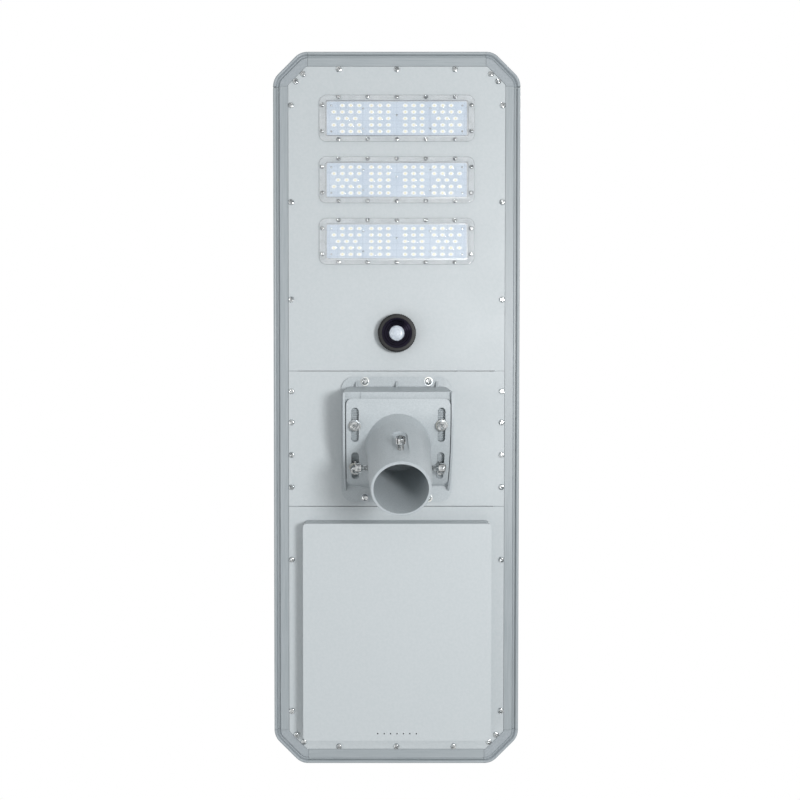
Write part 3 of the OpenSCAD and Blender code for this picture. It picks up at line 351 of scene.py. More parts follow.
floorMesh = bpy.data.meshes.new("studioFloor")
half = studio["floorSize"] / 2
corners = [(x * half, y * half, headZ - studio["floorDrop"]) for x, y in ((-1, -1), (1, -1), (1, 1), (-1, 1))]
floorMesh.from_pydata(corners, [], [(0, 1, 2, 3)])
floorMesh.materials.append(finishes["floor"])
floor = bpy.data.objects.new("studioFloor", floorMesh)
bpy.context.scene.collection.objects.link(floor)


def addPiece(name, mesh, finish, body, replaced=(), sharp=32):
    # the finished piece: shaded, with its finish, on its body
    mesh.materials.clear()
    mesh.materials.append(finishes[finish])
    mesh.shade_smooth()
    mesh.set_sharp_from_angle(angle=math.radians(sharp))
    piece = bpy.data.objects.new(name, mesh)
    bpy.context.scene.collection.objects.link(piece)
    # flats stay flat beside a rounded edge
    piece.modifiers.new("evenShading", "WEIGHTED_NORMAL").keep_sharp = True
    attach(piece, body)
    if replaced:
        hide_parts(*replaced)
    return piece


def bakedMesh(obj, name):
    # the evaluated mesh of an object, as plain data; the object goes
    graph = bpy.context.evaluated_depsgraph_get()
    graph.update()
    made = bpy.data.objects.new(name, bpy.data.meshes.new_from_object(obj.evaluated_get(graph)))
    mesh = made.data
    mesh.name = name
    bpy.data.objects.remove(made)
    bpy.data.objects.remove(obj)
    return mesh


weld = 2e-6  # metres within which points are one


def cadCopy(node):
    # a node's mesh with its doubles merged and its flat faces joined up
    bm = bmesh.new()
    bm.from_mesh(frame["nodes"][node].data)
    bmesh.ops.remove_doubles(bm, verts=bm.verts, dist=weld)
    bmesh.ops.dissolve_limit(bm, angle_limit=math.radians(0.4), verts=bm.verts, edges=bm.edges)
    return bm


def softened(node, width, segments=2, finish=None, name=None, angle=38):
    # the node with its edges broken, as bending, moulding and coating leave them
    bm = cadCopy(node)
    mesh = bpy.data.meshes.new(node)
    bm.to_mesh(mesh)
    bm.free()
    obj = bpy.data.objects.new("softening", mesh)
    bpy.context.scene.collection.objects.link(obj)
    bevel = obj.modifiers.new("edges", "BEVEL")
    bevel.width = width * mm
    bevel.segments = segments
    bevel.limit_method = "ANGLE"
    bevel.angle_limit = math.radians(angle)
    bevel.use_clamp_overlap = True
    soft = bakedMesh(obj, name or node + "_soft")
    return addPiece(name or node + "_soft", soft, finish or slotOf[node], bodyOf[node], [node],
                    angle)


def looseParts(node):
    # lowest and highest corner of each separate solid in a node, and the middle of its points
    bm = bmesh.new()
    bm.from_mesh(frame["nodes"][node].data)
    bmesh.ops.remove_doubles(bm, verts=bm.verts, dist=weld)
    seen, parts = set(), []
    for start in bm.verts:
        if start in seen:
            continue
        seen.add(start)
        stack, members = [start], []
        while stack:
            v = stack.pop()
            members.append(v.co.copy())
            for e in v.link_edges:
                other = e.other_vert(v)
                if other not in seen:
                    seen.add(other)
                    stack.append(other)
        parts.append((Vector(min(c[i] for c in members) for i in range(3)),
                      Vector(max(c[i] for c in members) for i in range(3)),
                      sum(members, Vector()) / len(members)))
    bm.free()
    return parts


def ringStack(rings, segments, closeStart=True, closeEnd=True):
    # a solid turned about Z: each ring is (radius or a function of the angle, z), in millimetres
    bm = bmesh.new()
    loops = []
    for radius, z in rings:
        loop = []
        for k in range(segments):
            a = 2 * math.pi * k / segments
            r = radius(a) if callable(radius) else radius
            loop.append(bm.verts.new((r * math.cos(a) * mm, r * math.sin(a) * mm, z * mm)))
        loops.append(loop)
    for low, high in zip(loops, loops[1:]):
        for k in range(segments):
            n = (k + 1) % segments
            bm.faces.new((low[k], low[n], high[n], high[k]))
    if closeStart:
        bm.faces.new(reversed(loops[0]))
    if closeEnd:
        bm.faces.new(loops[-1])
    if not closeStart and not closeEnd:
        for k in range(segments):
            n = (k + 1) % segments
            bm.faces.new((loops[-1][k], loops[-1][n], loops[0][n], loops[0][k]))
    bmesh.ops.recalc_face_normals(bm, faces=bm.faces)
    mesh = bpy.data.meshes.new("turned")
    bm.to_mesh(mesh)
    bm.free()
    return mesh


def crossShape(arm, width):
    # radius of a cross recess at an angle
    def radius(a):
        off = abs((a + math.pi / 4) % (math.pi / 2) - math.pi / 4)
        return arm / math.cos(off) if math.tan(off) <= width / arm else width / math.sin(off)
    return radius


def hexShape(flat):
    # radius of a hexagon at an angle, flat is half its width across flats
    return lambda a: flat / math.cos((a % (math.pi / 3)) - math.pi / 6)


def knurlShape(radius, depth, count):
    return lambda a: radius - depth * (0.5 + 0.5 * math.cos(a * count))


# the part is set out at each point of the mesh, turned as its "facing" says
repeatTree = bpy.data.node_groups.new("repeatAtPoints", "GeometryNodeTree")
sockets = {}
for label, kind, way in (("Points", "NodeSocketGeometry", "INPUT"), ("Part", "NodeSocketObject", "INPUT"),
                         ("Size", "NodeSocketFloat", "INPUT"), ("Spin", "NodeSocketFloat", "INPUT"),
                         ("Seed", "NodeSocketInt", "INPUT"), ("Finish", "NodeSocketMaterial", "INPUT"),
                         ("Repeated", "NodeSocketGeometry", "OUTPUT")):
    sockets[label] = repeatTree.interface.new_socket(label, in_out=way, socket_type=kind).identifier
given = addNode(repeatTree, "NodeGroupInput")
part = addNode(repeatTree, "GeometryNodeObjectInfo", links={"Object": given.outputs["Part"]})
facing = addNode(repeatTree, "GeometryNodeInputNamedAttribute", {"Name": "facing"}, data_type="FLOAT_VECTOR")
faced = addNode(repeatTree, "FunctionNodeEulerToRotation", links={0: facing.outputs["Attribute"]})
spin = addNode(repeatTree, "FunctionNodeRandomValue", {2: 0.0},
               {3: given.outputs["Spin"], "Seed": given.outputs["Seed"]}, data_type="FLOAT")
turn = addNode(repeatTree, "FunctionNodeAxisAngleToRotation", {0: (0, 0, 1)}, {1: spin.outputs[1]})
rotated = addNode(repeatTree, "FunctionNodeRotateRotation", links={0: faced.outputs[0], 1: turn.outputs[0]},
                  rotation_space="LOCAL")
onPoints = addNode(repeatTree, "GeometryNodeInstanceOnPoints", links={
    "Points": given.outputs["Points"], "Instance": part.outputs["Geometry"], "Rotation": rotated.outputs[0],
    "Scale": given.outputs["Size"]})
real = addNode(repeatTree, "GeometryNodeRealizeInstances", links={0: onPoints.outputs[0]})
painted = addNode(repeatTree, "GeometryNodeSetMaterial",
                  links={0: real.outputs[0], "Material": given.outputs["Finish"]})
addNode(repeatTree, "NodeGroupOutput", links={0: painted.outputs[0]})


def repeated(name, template, places, finish, size=1.0, spin=0.0, seed=1):
    # places are (position, euler), the template's own Z pointing along the turned axis
    points = bpy.data.meshes.new(name)
    points.from_pydata([p for p, turned in places], [], [])
    turns = points.attributes.new("facing", "FLOAT_VECTOR", "POINT")
    for k, (p, turned) in enumerate(places):
        turns.data[k].vector = turned
    model = bpy.data.objects.new("template", template)
    bpy.context.scene.collection.objects.link(model)
    holder = bpy.data.objects.new(name, points)
    bpy.context.scene.collection.objects.link(holder)
    nodes = holder.modifiers.new("repeat", "NODES")
    nodes.node_group = repeatTree
    for label, value in (("Part", model), ("Size", size), ("Spin", spin), ("Seed", seed),
                         ("Finish", finishes[finish])):
        nodes[sockets[label]] = value
    mesh = bakedMesh(holder, name)
    bpy.data.objects.remove(model)
    return mesh


def headPoint(x, y, z):
    # a point in the head's own millimetres: middle of the head, sheets' outer face
    return Vector((x * mm, headY + y * mm, headZ + z * mm))


casting = {"cut": 38, "elbow": 24, "bends": 10, "seam": 0.3}
castingSection = [
    # u inwards from the outer face, z up from the sheets' outer face
    (1.8, 31), (0, 31), (0, 3.1), (0.25, 2.0), (0.9, 1.15), (1.8, 0.82), (2.8, 0.82), (3.7, 1.15),
    (4.35, 2.0), (4.7, 3.2), (5.3, 4.3), (6.1, 4.9), (7.0, 4.8), (7.8, 4.1), (8.5, 2.9), (9.0, 1.6),
    (9.5, 0.5), (10.0, 0.1), (10.6, 0), (20.5, 0), (21, 0.5), (21, 1.5), (35, 1.5), (35, 3.7),
    (21, 3.7), (21, 31),
]
lipSection = [(0, 31), (1.8, 31), (1.8, 36.4), (11, 36.4), (11, 37.6), (10.6, 38), (0.6, 38), (0, 37.4)]


def bentPath(u, seamX, seamY):
    # plan of the corner at +X, +Y for a line u inside the outer face
    radius = max(casting["elbow"] - u, 1)
    cut = casting["cut"] - u * (2 - math.sqrt(2))
    run = radius * math.tan(math.pi / 8)
    x, y = halfWidth / mm - u, halfLength / mm - u
    path = [(x, seamY)]
    for cx, cy, start in ((x - radius, y - cut - run, 0), (x - cut - run, y - radius, 45)):
        for k in range(casting["bends"] + 1):
            a = math.radians(start + 45 * k / casting["bends"])
            path.append((cx + radius * math.cos(a), cy + radius * math.sin(a)))
    return path + [(seamX, y)]


def sweptCasting(seamX, seamY):
    bm = bmesh.new()
    for section in (castingSection, lipSection):
        rows = []
        for u, z in section:
            rows.append([bm.verts.new(headPoint(x, y, z)) for x, y in bentPath(u, seamX, seamY)])
        for a, b in zip(rows, rows[1:] + rows[:1]):
            for k in range(len(a) - 1):
                bm.faces.new((a[k], a[k + 1], b[k + 1], b[k]))
        bm.faces.new([r[0] for r in rows])
        bm.faces.new([r[-1] for r in reversed(rows)])
    bmesh.ops.recalc_face_normals(bm, faces=bm.faces)
    return bm


for node, sx, sy in (("corner_lamp_left", -1, 1), ("corner_lamp_right", 1, 1),
                     ("corner_battery_left", -1, -1), ("corner_battery_right", 1, -1)):
    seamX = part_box("end_rail_lamp")[1].x / mm + casting["seam"]
    seamY = (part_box("side_rail_right")[1].y - headY) / mm + casting["seam"]
    bm = sweptCasting(seamX, seamY)
    for v in bm.verts:
        v.co = (v.co.x * sx, headY + (v.co.y - headY) * sy, v.co.z)
    bmesh.ops.recalc_face_normals(bm, faces=bm.faces)
    mesh = bpy.data.meshes.new(node + "_casting")
    bm.to_mesh(mesh)
    bm.free()
    addPiece(node + "_casting", mesh, "frame_casting", "head", [node], 50)
print("corner castings swept")

for node in ("side_rail_left", "side_rail_right", "end_rail_lamp", "end_rail_battery"):
    softened(node, 0.35, 2, "endRail" if node.startswith("end") else None)
for node, width in (("lamp_panel", 0.3), ("bracket_panel", 0.3), ("battery_panel", 0.3),
                    ("battery_cover", 0.7)):
    softened(node, width, 3)
for node, width in (("cross_channel", 0.5), ("charge_controller", 0.6), ("junction_box", 0.6),
                    ("battery_tray", 0.4), ("battery_straps", 0.3)):
    softened(node, width)
for k in (1, 2, 3):
    softened(f"heat_spreader_{k}", 0.25)
print("rails and sheets done")

softened("bracket_base", 0.6, 3)
softened("pole_sleeve", 0.6, 3)

teeth = {"pitch": 2.4, "height": 1.15, "floor": 127.3, "from": 50.6, "to": 71.0, "half": 26.5, "margin": 7.2}
bm = bmesh.new()
halfWide = (teeth["to"] - teeth["from"]) / 2
pitchWide = teeth["pitch"] * 0.5
profile = [(-pitchWide, 0.1), (-pitchWide * 0.35, -teeth["height"]), (pitchWide * 0.35, -teeth["height"]),
           (pitchWide, 0.1)]
ends = [[bm.verts.new((x * mm, y * mm, z * mm)) for y, z in profile] for x in (-halfWide, halfWide)]
for k in range(4):
    n = (k + 1) % 4
    bm.faces.new((ends[0][k], ends[0][n], ends[1][n], ends[1][k]))
bm.faces.new(ends[0])
bm.faces.new(ends[1])
bmesh.ops.recalc_face_normals(bm, faces=bm.faces)
tooth = bpy.data.meshes.new("tooth")
bm.to_mesh(tooth)
bm.free()
step = math.degrees(teeth["pitch"] / teeth["floor"])
count = int(2 * teeth["half"] / step)
toothPlaces = []
for side in (-1, 1):
    for k in range(count + 1):
        a = math.radians(-teeth["half"] + k * step)
        across = side * (teeth["from"] + teeth["to"]) / 2
        spot = Vector((across * mm, math.sin(a) * teeth["floor"] * mm, -math.cos(a) * teeth["floor"] * mm))
        toothPlaces.append((saddle @ spot, (a - tilt, 0, 0)))
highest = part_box("bracket_base")[1].z - teeth["margin"] * mm
toothPlaces = [p for p in toothPlaces if p[0].z < highest]
addPiece("saddle_teeth", repeated("saddle_teeth", tooth, toothPlaces, "bracket_casting"), "bracket_casting",
         "head")

# socket-head screw: knurled head, hexagon socket, rolled thread
bolt = {"thread": 4, "head": 6.5, "headHeight": 8, "socket": 3, "socketDeep": 4, "knurls": 36, "pitch": 1.25}


def socketScrew(length, threadFrom=0.0):
    b = bolt
    knurl = knurlShape(b["head"], 0.22, b["knurls"])
    rings = [(hexShape(b["socket"]), b["socketDeep"] - b["headHeight"]),
             (hexShape(b["socket"]), 0.25 - b["headHeight"]),
             (hexShape(b["socket"] + 0.3), -b["headHeight"]), (b["head"] - 0.9, -b["headHeight"]),
             (b["head"] - 0.35, 0.35 - b["headHeight"]), (knurl, 0.9 - b["headHeight"]), (knurl, -0.9),
             (b["head"] - 0.25, -0.5), (b["head"] - 0.6, -0.02), (b["thread"] - 0.05, -0.02)]
    z = threadFrom
    rings.append((b["thread"] - 0.05, z))
    while z + b["pitch"] < length - 0.6:
        rings += [(b["thread"] - 0.5, z + b["pitch"] * 0.3), (b["thread"] - 0.05, z + b["pitch"] * 0.8)]
        z += b["pitch"]
    rings.append((b["thread"] - 0.7, length))
    return ringStack(rings, 72)


bolts = {"washerStack": 1.9, "flange": 135, "length": 22}
boltPlaces = []
washerPlaces = []
for low, high, middle in looseParts("tilt_bolts"):
    local = saddle.inverted() @ middle
    a = math.atan2(local.y, -local.z)
    out = bolts["flange"] + bolts["washerStack"]
    seat = Vector((local.x, math.sin(a) * out * mm, -math.cos(a) * out * mm))
    boltPlaces.append((saddle @ seat, (a - tilt, 0, 0)))
    under = bolts["flange"] + 0.3
    spot = Vector((local.x, math.sin(a) * under * mm, -math.cos(a) * under * mm))
    washerPlaces.append((saddle @ spot, (a - tilt, 0, 0)))
boltMesh = repeated("tilt_bolts_socket", socketScrew(bolts["length"]), boltPlaces, "stainless_steel",
                    spin=1.0, seed=4)
addPiece("tilt_bolts_socket", boltMesh, "stainless_steel", "head", ["tilt_bolts"])
washer = ringStack([(4.25, 0), (4.25, -1.55), (4.4, -1.6), (7.7, -1.6), (8, -1.3), (8, -0.3), (7.8, 0)], 64,
                   False, False)
addPiece("tilt_washers_plain", repeated("tilt_washers_plain", washer, washerPlaces, "zinc_plated_steel"),
         "zinc_plated_steel", "head", ["tilt_washers"])

axisOf = {j["child"]: Vector(j["axis"]).normalized() for j in frame["joints"] if j["type"] == "slide"}
for node in ("clamp_screw_left", "clamp_screw_right", "clamp_screw_front"):
    axis = axisOf[bodyOf[node]]
    points = [v.co for v in frame["nodes"][node].data.vertices]
    along = [p.dot(axis) for p in points]
    middle = sum(points, Vector()) / len(points)
    seat = middle + axis * (min(along) + bolt["headHeight"] * mm - middle.dot(axis))
    length = (max(along) - min(along)) / mm - bolt["headHeight"]
    turned = Vector((0, 0, 1)).rotation_difference(axis).to_euler()
    mesh = repeated(node + "_socket", socketScrew(length), [(seat, turned)], "stainless_steel")
    addPiece(node + "_socket", mesh, "stainless_steel", bodyOf[node], [node])
print("bracket done")


def panScrew(head, height, shank, length, segments=40):
    cross = crossShape(head * 0.56, head * 0.13)
    small = crossShape(head * 0.34, head * 0.1)
    rings = [(small, -height * 0.35), (cross, -height * 0.97), (head * 0.62, -height),
             (head * 0.8, -height * 0.88), (head * 0.93, -height * 0.62), (head * 0.99, -height * 0.25),
             (head, -0.02), (shank, -0.02), (shank, length)]
    return ringStack(rings, segments)


def screwPlaces(node):
    # each screw's axis, where its head meets the sheet
    found = []
    for low, high, middle in looseParts(node):
        found.append(((low.x + high.x) / 2, (low.y + high.y) / 2, low.z, high.z))
    return found


screws = {
    "panel_screws": {"head": 4.2, "height": 2.6, "shank": 2.0},
    "lens_screws": {"head": 2.75, "height": 1.8, "shank": 1.5},
    "base_screws": {"head": 5.0, "height": 3.6, "shank": 2.5},
}
for node, s in screws.items():
    found = screwPlaces(node)
    length = (found[0][3] - found[0][2]) / mm - s["height"]
    places = [(Vector((x, y, low + s["height"] * mm)), (0, 0, 0)) for x, y, low, high in found]
    mesh = repeated(node + "_cross", panScrew(s["head"], s["height"], s["shank"], length), places,
                    "stainless_steel", spin=1.5, seed=len(found))
    addPiece(node + "_cross", mesh, "stainless_steel", "head", [node], 28)
print("screws set out")

module = {"width": 217, "length": 64.5, "corner": 10, "windowWidth": 198, "windowLength": 49, "flangeLow": -3,
          "flangeHigh": -1, "field": -3.9, "dome": 1.1, "domeSize": (4.6, 3.3, 1000), "inner": -2.6,
          "step": 0.6, "bend": 0.9, "fieldGap": 0.8}

# a sheet that rises to a dome over each LED
domeTree = bpy.data.node_groups.new("lensField", "GeometryNodeTree")
domeSockets = {}
for label, kind, way in (("Grid", "NodeSocketGeometry", "INPUT"), ("LEDs", "NodeSocketObject", "INPUT"),
                         ("Dome Size", "NodeSocketVector", "INPUT"),
                         ("Dome Height", "NodeSocketFloat", "INPUT"),
                         ("Finish", "NodeSocketMaterial", "INPUT"),
                         ("Field", "NodeSocketGeometry", "OUTPUT")):
    domeSockets[label] = domeTree.interface.new_socket(label, in_out=way, socket_type=kind).identifier
given = addNode(domeTree, "NodeGroupInput")
leds = addNode(domeTree, "GeometryNodeObjectInfo", links={"Object": given.outputs["LEDs"]})
near = addNode(domeTree, "GeometryNodeProximity", links={0: leds.outputs["Geometry"]},
               target_element="POINTS")
here = addNode(domeTree, "GeometryNodeInputPosition")
away = addNode(domeTree, "ShaderNodeVectorMath", links={0: here.outputs[0], 1: near.outputs["Position"]},
               operation="SUBTRACT")
scaled = addNode(domeTree, "ShaderNodeVectorMath", links={0: away.outputs[0], 1: given.outputs["Dome Size"]},
                 operation="DIVIDE")
share = addNode(domeTree, "ShaderNodeVectorMath", links={0: scaled.outputs[0]}, operation="LENGTH")
square = addNode(domeTree, "ShaderNodeMath", links={0: share.outputs["Value"], 1: share.outputs["Value"]},
                 operation="MULTIPLY")
rest = addNode(domeTree, "ShaderNodeMath", {0: 1.0}, {1: square.outputs[0]}, operation="SUBTRACT",
               use_clamp=True)
rise = addNode(domeTree, "ShaderNodeMath", {1: 0.6}, {0: rest.outputs[0]}, operation="POWER")
high = addNode(domeTree, "ShaderNodeMath", links={0: rise.outputs[0], 1: given.outputs["Dome Height"]},
               operation="MULTIPLY")
drop = addNode(domeTree, "ShaderNodeMath", {1: -1.0}, {0: high.outputs[0]}, operation="MULTIPLY")
offset = addNode(domeTree, "ShaderNodeCombineXYZ", links={"Z": drop.outputs[0]})
raised = addNode(domeTree, "GeometryNodeSetPosition",
                 links={0: given.outputs["Grid"], "Offset": offset.outputs[0]})
real = addNode(domeTree, "GeometryNodeRealizeInstances", links={0: raised.outputs[0]})
painted = addNode(domeTree, "GeometryNodeSetMaterial",
                  links={0: real.outputs[0], "Material": given.outputs["Finish"]})
addNode(domeTree, "NodeGroupOutput", links={0: painted.outputs[0]})


def roundedPoints(width, length, radius, steps=8):
    # a rectangle with round corners, about its middle
    points = []
    for sx, sy, start in ((1, 1, 0), (-1, 1, 90), (-1, -1, 180), (1, -1, 270)):
        for k in range(steps + 1):
            a = math.radians(start + 90 * k / steps)
            points.append((sx * (width / 2 - radius) + radius * math.cos(a),
                           sy * (length / 2 - radius) + radius * math.sin(a)))
    return points


def ringOfOutlines(bm, outlines, closed=False):
    # faces between outlines of equal length; the last joins the first if closed
    loops = [[bm.verts.new(p) for p in outline] for outline in outlines]
    pairs = list(zip(loops, loops[1:])) + ([(loops[-1], loops[0])] if closed else [])
    for a, b in pairs:
        for k in range(len(a)):
            n = (k + 1) % len(a)
            bm.faces.new((a[k], a[n], b[n], b[k]))
    return loops


def lensCover(name, middle, ledPoints):
    w, l = module["windowWidth"] - 1, module["windowLength"] - 1
    nx, ny = int(w / module["step"]), int(l / module["step"])
    bm = bmesh.new()
    startX, startY = middle[0] - w / 2, middle[1] - l / 2
    grid = [[bm.verts.new(headPoint(startX + w * i / nx, startY + l * j / ny, module["field"]))
             for i in range(nx + 1)] for j in range(ny + 1)]
    for j in range(ny):
        for i in range(nx):
            bm.faces.new((grid[j][i], grid[j + 1][i], grid[j + 1][i + 1], grid[j][i + 1]))
    mesh = bpy.data.meshes.new(name)
    bm.to_mesh(mesh)
    bm.free()
    holder = bpy.data.objects.new(name, mesh)
    bpy.context.scene.collection.objects.link(holder)
    dots = bpy.data.meshes.new("leds")
    dots.from_pydata([headPoint(x, y, module["field"]) for x, y in ledPoints], [], [])
    dotHolder = bpy.data.objects.new("leds", dots)
    bpy.context.scene.collection.objects.link(dotHolder)
    nodes = holder.modifiers.new("domes", "NODES")
    nodes.node_group = domeTree
    for label, value in (("LEDs", dotHolder), ("Dome Size", [d * mm for d in module["domeSize"]]),
                         ("Dome Height", module["dome"] * mm), ("Finish", finishes["lens_polycarbonate"])):
        nodes[domeSockets[label]] = value
    field = bakedMesh(holder, name)
    bpy.data.objects.remove(dotHolder)
    bm = bmesh.new()
    bm.from_mesh(field)
    rim = [e for e in bm.edges if e.is_boundary]
    made = bmesh.ops.extrude_edge_only(bm, edges=rim)
    lower = [g for g in made["geom"] if isinstance(g, bmesh.types.BMVert)]
    for v in lower:
        v.co.z = headZ + module["inner"] * mm
    bmesh.ops.holes_fill(bm, edges=[e for e in bm.edges if e.is_boundary])
    # the screw flange round the field, with a rounded rim
    bend = module["bend"]
    rings = []
    inner = (module["windowWidth"] - module["fieldGap"], module["windowLength"] - module["fieldGap"], 2.5)
    outer = (module["width"], module["length"], module["corner"])
    for inset, z in ((None, module["flangeLow"]), (None, module["flangeHigh"]), (0.1, module["flangeHigh"]),
                     (0, module["flangeHigh"] - bend * 0.3), (0, module["flangeLow"] + bend),
                     (0.3, module["flangeLow"] + bend * 0.3), (1.0, module["flangeLow"])):
        width, length, radius = inner
        if inset is not None:
            width, length, radius = outer[0] - 2 * inset, outer[1] - 2 * inset, outer[2] - inset
        rings.append([headPoint(middle[0] + x, middle[1] + y, z)
                      for x, y in roundedPoints(width, length, radius)])
    ringOfOutlines(bm, rings, closed=True)
    bmesh.ops.recalc_face_normals(bm, faces=bm.faces)
    mesh = bpy.data.meshes.new(name)
    bm.to_mesh(mesh)
    bm.free()
    return mesh


# the white oval is wider than a real package: partly the package, partly a painted highlight of the dome over it
led = {"oval": (3.7, 2.5), "rimWidth": 0.5, "rimHigh": 0.35, "base": 0.12, "glow": 1.45}


def ovalShape(across, along):
    return lambda a: 1 / math.hypot(math.cos(a) / across, math.sin(a) / along)


outerOval = ovalShape(*led["oval"])
innerOval = ovalShape(led["oval"][0] - led["rimWidth"], led["oval"][1] - led["rimWidth"])
package = ringStack([(outerOval, 0), (outerOval, -led["rimHigh"]), (innerOval, -led["rimHigh"]),
                     (1.5, -led["base"])], 20)
phosphor = ringStack([(led["glow"], -led["base"]), (led["glow"], -0.5), (1.1, -0.68), (0.7, -0.77),
                      (0.2, -0.8)], 12)
bridge = {"width": 10, "side": 2.2, "sideAt": 46.8, "thick": 0.6, "edge": 0.15}
boardScrew = {"head": 1.6, "height": 0.9, "shank": 0.8, "length": 0.8, "segments": 24}
boardHoles = {"middle": 4.5, "sideAlong": 14, "corner": (91.5, 17.9)}
for k in (1, 2, 3):
    low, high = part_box(f"lens_cover_{k}")
    middle = ((low.x + high.x) / 2 / mm, ((low.y + high.y) / 2 - headY) / mm)
    leds = [((a + b) / 2, b.z) for a, b, c in looseParts(f"led_chips_{k}")]
    ledPoints = [(p.x / mm, (p.y - headY) / mm) for p, seatZ in leds]
    coverMesh = lensCover(f"lens_cover_{k}_domed", middle, ledPoints)
    addPiece(f"lens_cover_{k}_domed", coverMesh, "lens_polycarbonate", "head",
             [f"lens_cover_{k}"], 50)
    seats = [(Vector((p.x, p.y, seatZ)), (0, 0, 0)) for p, seatZ in leds]
    packages = repeated(f"led_packages_{k}", package, seats, "ledPackage")
    addPiece(f"led_packages_{k}", packages, "ledPackage", "head", [f"led_chips_{k}"])
    gels = repeated(f"led_phosphor_{k}", phosphor, seats, "led_phosphor")
    addPiece(f"led_phosphor_{k}", gels, "led_phosphor", "head")
    boardFace = (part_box(f"led_board_{k}")[0].z - headZ) / mm
    bm = bmesh.new()
    bridgeFace = boardFace - bridge["thick"]
    for x, width in ((0, bridge["width"]), (-bridge["sideAt"], bridge["side"]),
                     (bridge["sideAt"], bridge["side"])):
        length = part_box(f"led_board_{k}")[1].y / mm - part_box(f"led_board_{k}")[0].y / mm - 1
        rings = []
        for inset, z in ((0, boardFace), (0, bridgeFace + bridge["edge"]), (bridge["edge"], bridgeFace)):
            rings.append([headPoint(middle[0] + x + px, middle[1] + py, z)
                          for px, py in roundedPoints(width - 2 * inset, length - 2 * inset, 0.6, 3)])
        loops = ringOfOutlines(bm, rings)
        bm.faces.new(loops[0])
        bm.faces.new(loops[-1])
    bmesh.ops.recalc_face_normals(bm, faces=bm.faces)
    mesh = bpy.data.meshes.new("bridges")
    bm.to_mesh(mesh)
    bm.free()
    addPiece(f"board_bridges_{k}", mesh, "led_board", "head")
    spots = [(0, boardHoles["middle"], bridge["thick"])]
    for x, y in ((bridge["sideAt"], boardHoles["sideAlong"]), boardHoles["corner"]):
        spots += [(s * x, t * y, 0) for s in (-1, 1) for t in (-1, 1)]
    seats = [(headPoint(middle[0] + x, middle[1] + y, boardFace - up), (0, 0, 0)) for x, y, up in spots]
    smallScrews = repeated(f"board_screws_{k}", panScrew(**boardScrew), seats, "stainless_steel", spin=1.5,
                           seed=k)
    addPiece(f"board_screws_{k}", smallScrews, "stainless_steel", "head")
print("lamp modules done")

low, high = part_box("sensor_ring")
sensorMiddle = ((low + high) / 2 - Vector((0, headY, 0))) / mm
nut = {"radius": 27, "height": 15, "wall": 6.2, "bore": 19.05, "floor": -7.2, "ribs": 60, "ribDeep": 1.3}
at = headPoint(sensorMiddle.x, sensorMiddle.y, 0)


def atSensor(mesh):
    mesh.transform(Matrix.Translation(at))
    return mesh


knurl = knurlShape(nut["radius"], nut["ribDeep"], nut["ribs"])
ringMesh = ringStack([
    (nut["bore"], 0), (nut["radius"] - 1.6, 0), (knurl, -1.0), (knurl, 0.7 - nut["height"]),
    (nut["radius"] - nut["ribDeep"] - 0.4, 0.1 - nut["height"]),
    (nut["radius"] - nut["ribDeep"] - 1, -nut["height"]),
    (nut["radius"] - nut["wall"] + 0.4, -nut["height"]),
    (nut["radius"] - nut["wall"], 0.4 - nut["height"]), (nut["radius"] - nut["wall"], nut["floor"]),
    (nut["bore"], nut["floor"])], 4 * nut["ribs"], False, False)
addPiece("sensor_ring_knurled", atSensor(ringMesh), "black_plastic", "head",
         ["sensor_ring"], 40)

hood = {"throat": 11.0, "mouth": 20.7, "top": -7.2, "low": -14.2, "wall": 1.1, "grooves": (0.35, 0.7)}
rings = [(hood["throat"], hood["top"]), (hood["throat"], hood["top"] - 1.0)]
wide = hood["mouth"] - hood["wall"] - hood["throat"]
for share in hood["grooves"]:
    radius = hood["throat"] + wide * share
    z = hood["top"] - 1 + (hood["low"] - hood["top"] + 1) * share
    rings += [(radius - 0.3, z + 0.2), (radius, z + 0.5), (radius + 0.3, z - 0.2)]
rings += [(hood["mouth"] - hood["wall"], hood["low"]), (hood["mouth"], hood["low"]),
          (hood["mouth"], hood["low"] + 0.9), (hood["throat"] + 1.8, hood["top"])]
addPiece("sensor_hood_cone", atSensor(ringStack(rings, 96, False, False)), "gloss_black_plastic", "head",
         ["sensor_hood"], 30)

# the lens is a dome of flat facets, each a little lens of its own
lens = {"radius": 10.8, "base": -7.5, "rise": 3.5, "bands": 4}
rings = [(lens["radius"] + 2.4, -2.7), (lens["radius"] + 2.4, -3.9), (lens["radius"], -4.0),
         (lens["radius"], lens["base"])]
for k in range(1, lens["bands"] + 1):
    a = math.radians(88 * k / lens["bands"])
    edge = lens["radius"] * math.cos(a) + 0.25
    z = lens["base"] - lens["rise"] * math.sin(a)
    rings += [(edge + 0.12, z + 0.3), (edge, z + 0.02), (edge - 0.22, z + 0.22)]
lensMesh = ringStack([r for r in rings if r[0] > 0.2] + [(0.3, lens["base"] - lens["rise"])], 14)
addPiece("sensor_lens_faceted", atSensor(lensMesh), "sensor_lens_plastic", "head",
         ["sensor_lens"], 12)
softened("sensor_body", 0.3)
print("motion sensor done")

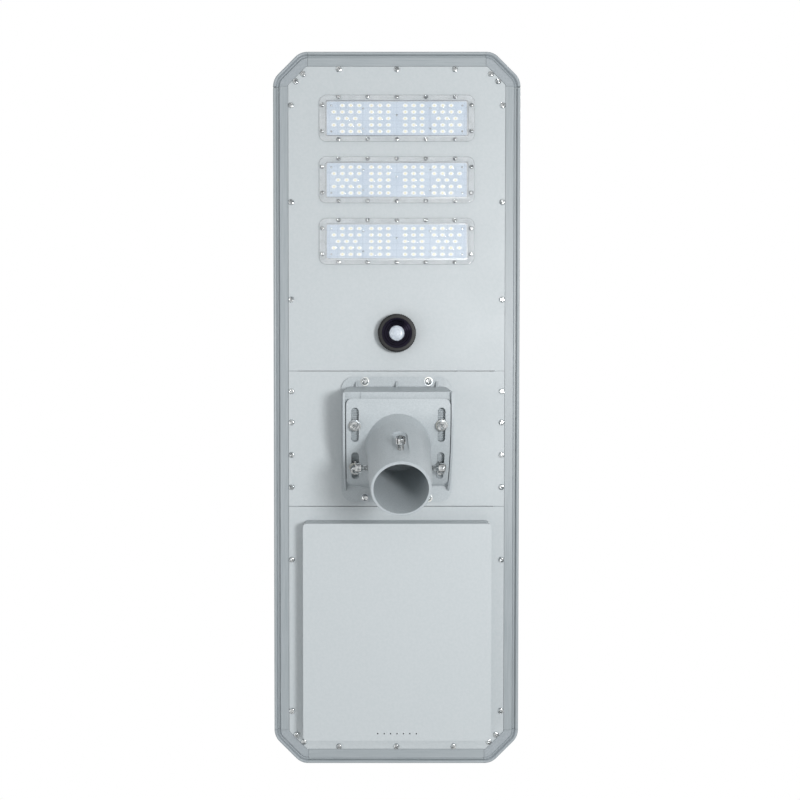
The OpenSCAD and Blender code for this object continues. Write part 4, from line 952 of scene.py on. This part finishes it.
glassGap = 0.08  # the underside is lifted clear of the cells and their ribbons
bm = cadCopy("solar_glass")
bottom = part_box("solar_glass")[0].z
for v in bm.verts:
    if v.co.z < bottom + 1e-5:
        v.co.z += glassGap * mm
mesh = bpy.data.meshes.new("solar_glass_clear")
bm.to_mesh(mesh)
bm.free()
addPiece("solar_glass_clear", mesh, "solar_glass", "head", ["solar_glass"])

# tinned ribbons that join the cells across their gaps
ribbon = {"width": 1.6, "length": 3.6, "thick": 0.06, "past": 0.75}
bm = bmesh.new()
bmesh.ops.create_cube(bm, size=1)
for v in bm.verts:
    v.co = (v.co.x * ribbon["width"] * mm, v.co.y * ribbon["length"] * mm, v.co.z * ribbon["thick"] * mm)
bmesh.ops.bevel(bm, geom=bm.edges, offset=0.01 * mm, segments=1, affect="EDGES")
strip = bpy.data.meshes.new("ribbon")
bm.to_mesh(strip)
bm.free()
cells = looseParts("solar_cells")
places = []
for low, high, middle in cells:
    middle = (low + high) / 2
    if abs(high.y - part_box("solar_cells")[1].y) < 1e-4:
        continue
    for k in (-2, -1, 0, 1, 2):
        spot = Vector((middle.x + k * cell["busbarPitch"] * mm, high.y + ribbon["past"] * mm,
                       high.z + ribbon["thick"] / 2 * mm))
        places.append((spot, (0, 0, 0)))
addPiece("cell_ribbons", repeated("cell_ribbons", strip, places, "zinc_plated_steel"), "zinc_plated_steel",
         "head")
print("solar face done")

cellSize = {"radius": 16, "length": 70}
places = [((a + b) / 2, (0, math.pi / 2, 0)) for a, b, c in looseParts("battery_cells")]
halfCell = cellSize["length"] / 2
r = cellSize["radius"]
sleeveMesh = ringStack([(r - 2.6, 0.3 - halfCell), (r - 2.4, -halfCell), (r - 0.8, -halfCell),
                        (r, 0.8 - halfCell), (r, halfCell - 0.8), (r - 0.8, halfCell), (r - 2.4, halfCell),
                        (r - 2.6, halfCell - 0.3)], 40)
addPiece("battery_cell_sleeves", repeated("battery_cell_sleeves", sleeveMesh, places, "battery_can"),
         "battery_can", "head", ["battery_cells"])
capMesh = ringStack([(r - 3, halfCell - 0.35), (r - 3, halfCell - 0.15), (6, halfCell - 0.12),
                     (5.6, halfCell - 0.02), (0.5, halfCell - 0.02)], 32)
addPiece("battery_cell_caps", repeated("battery_cell_caps", capMesh, places, "zinc_plated_steel"),
         "zinc_plated_steel", "head")
print("battery done")
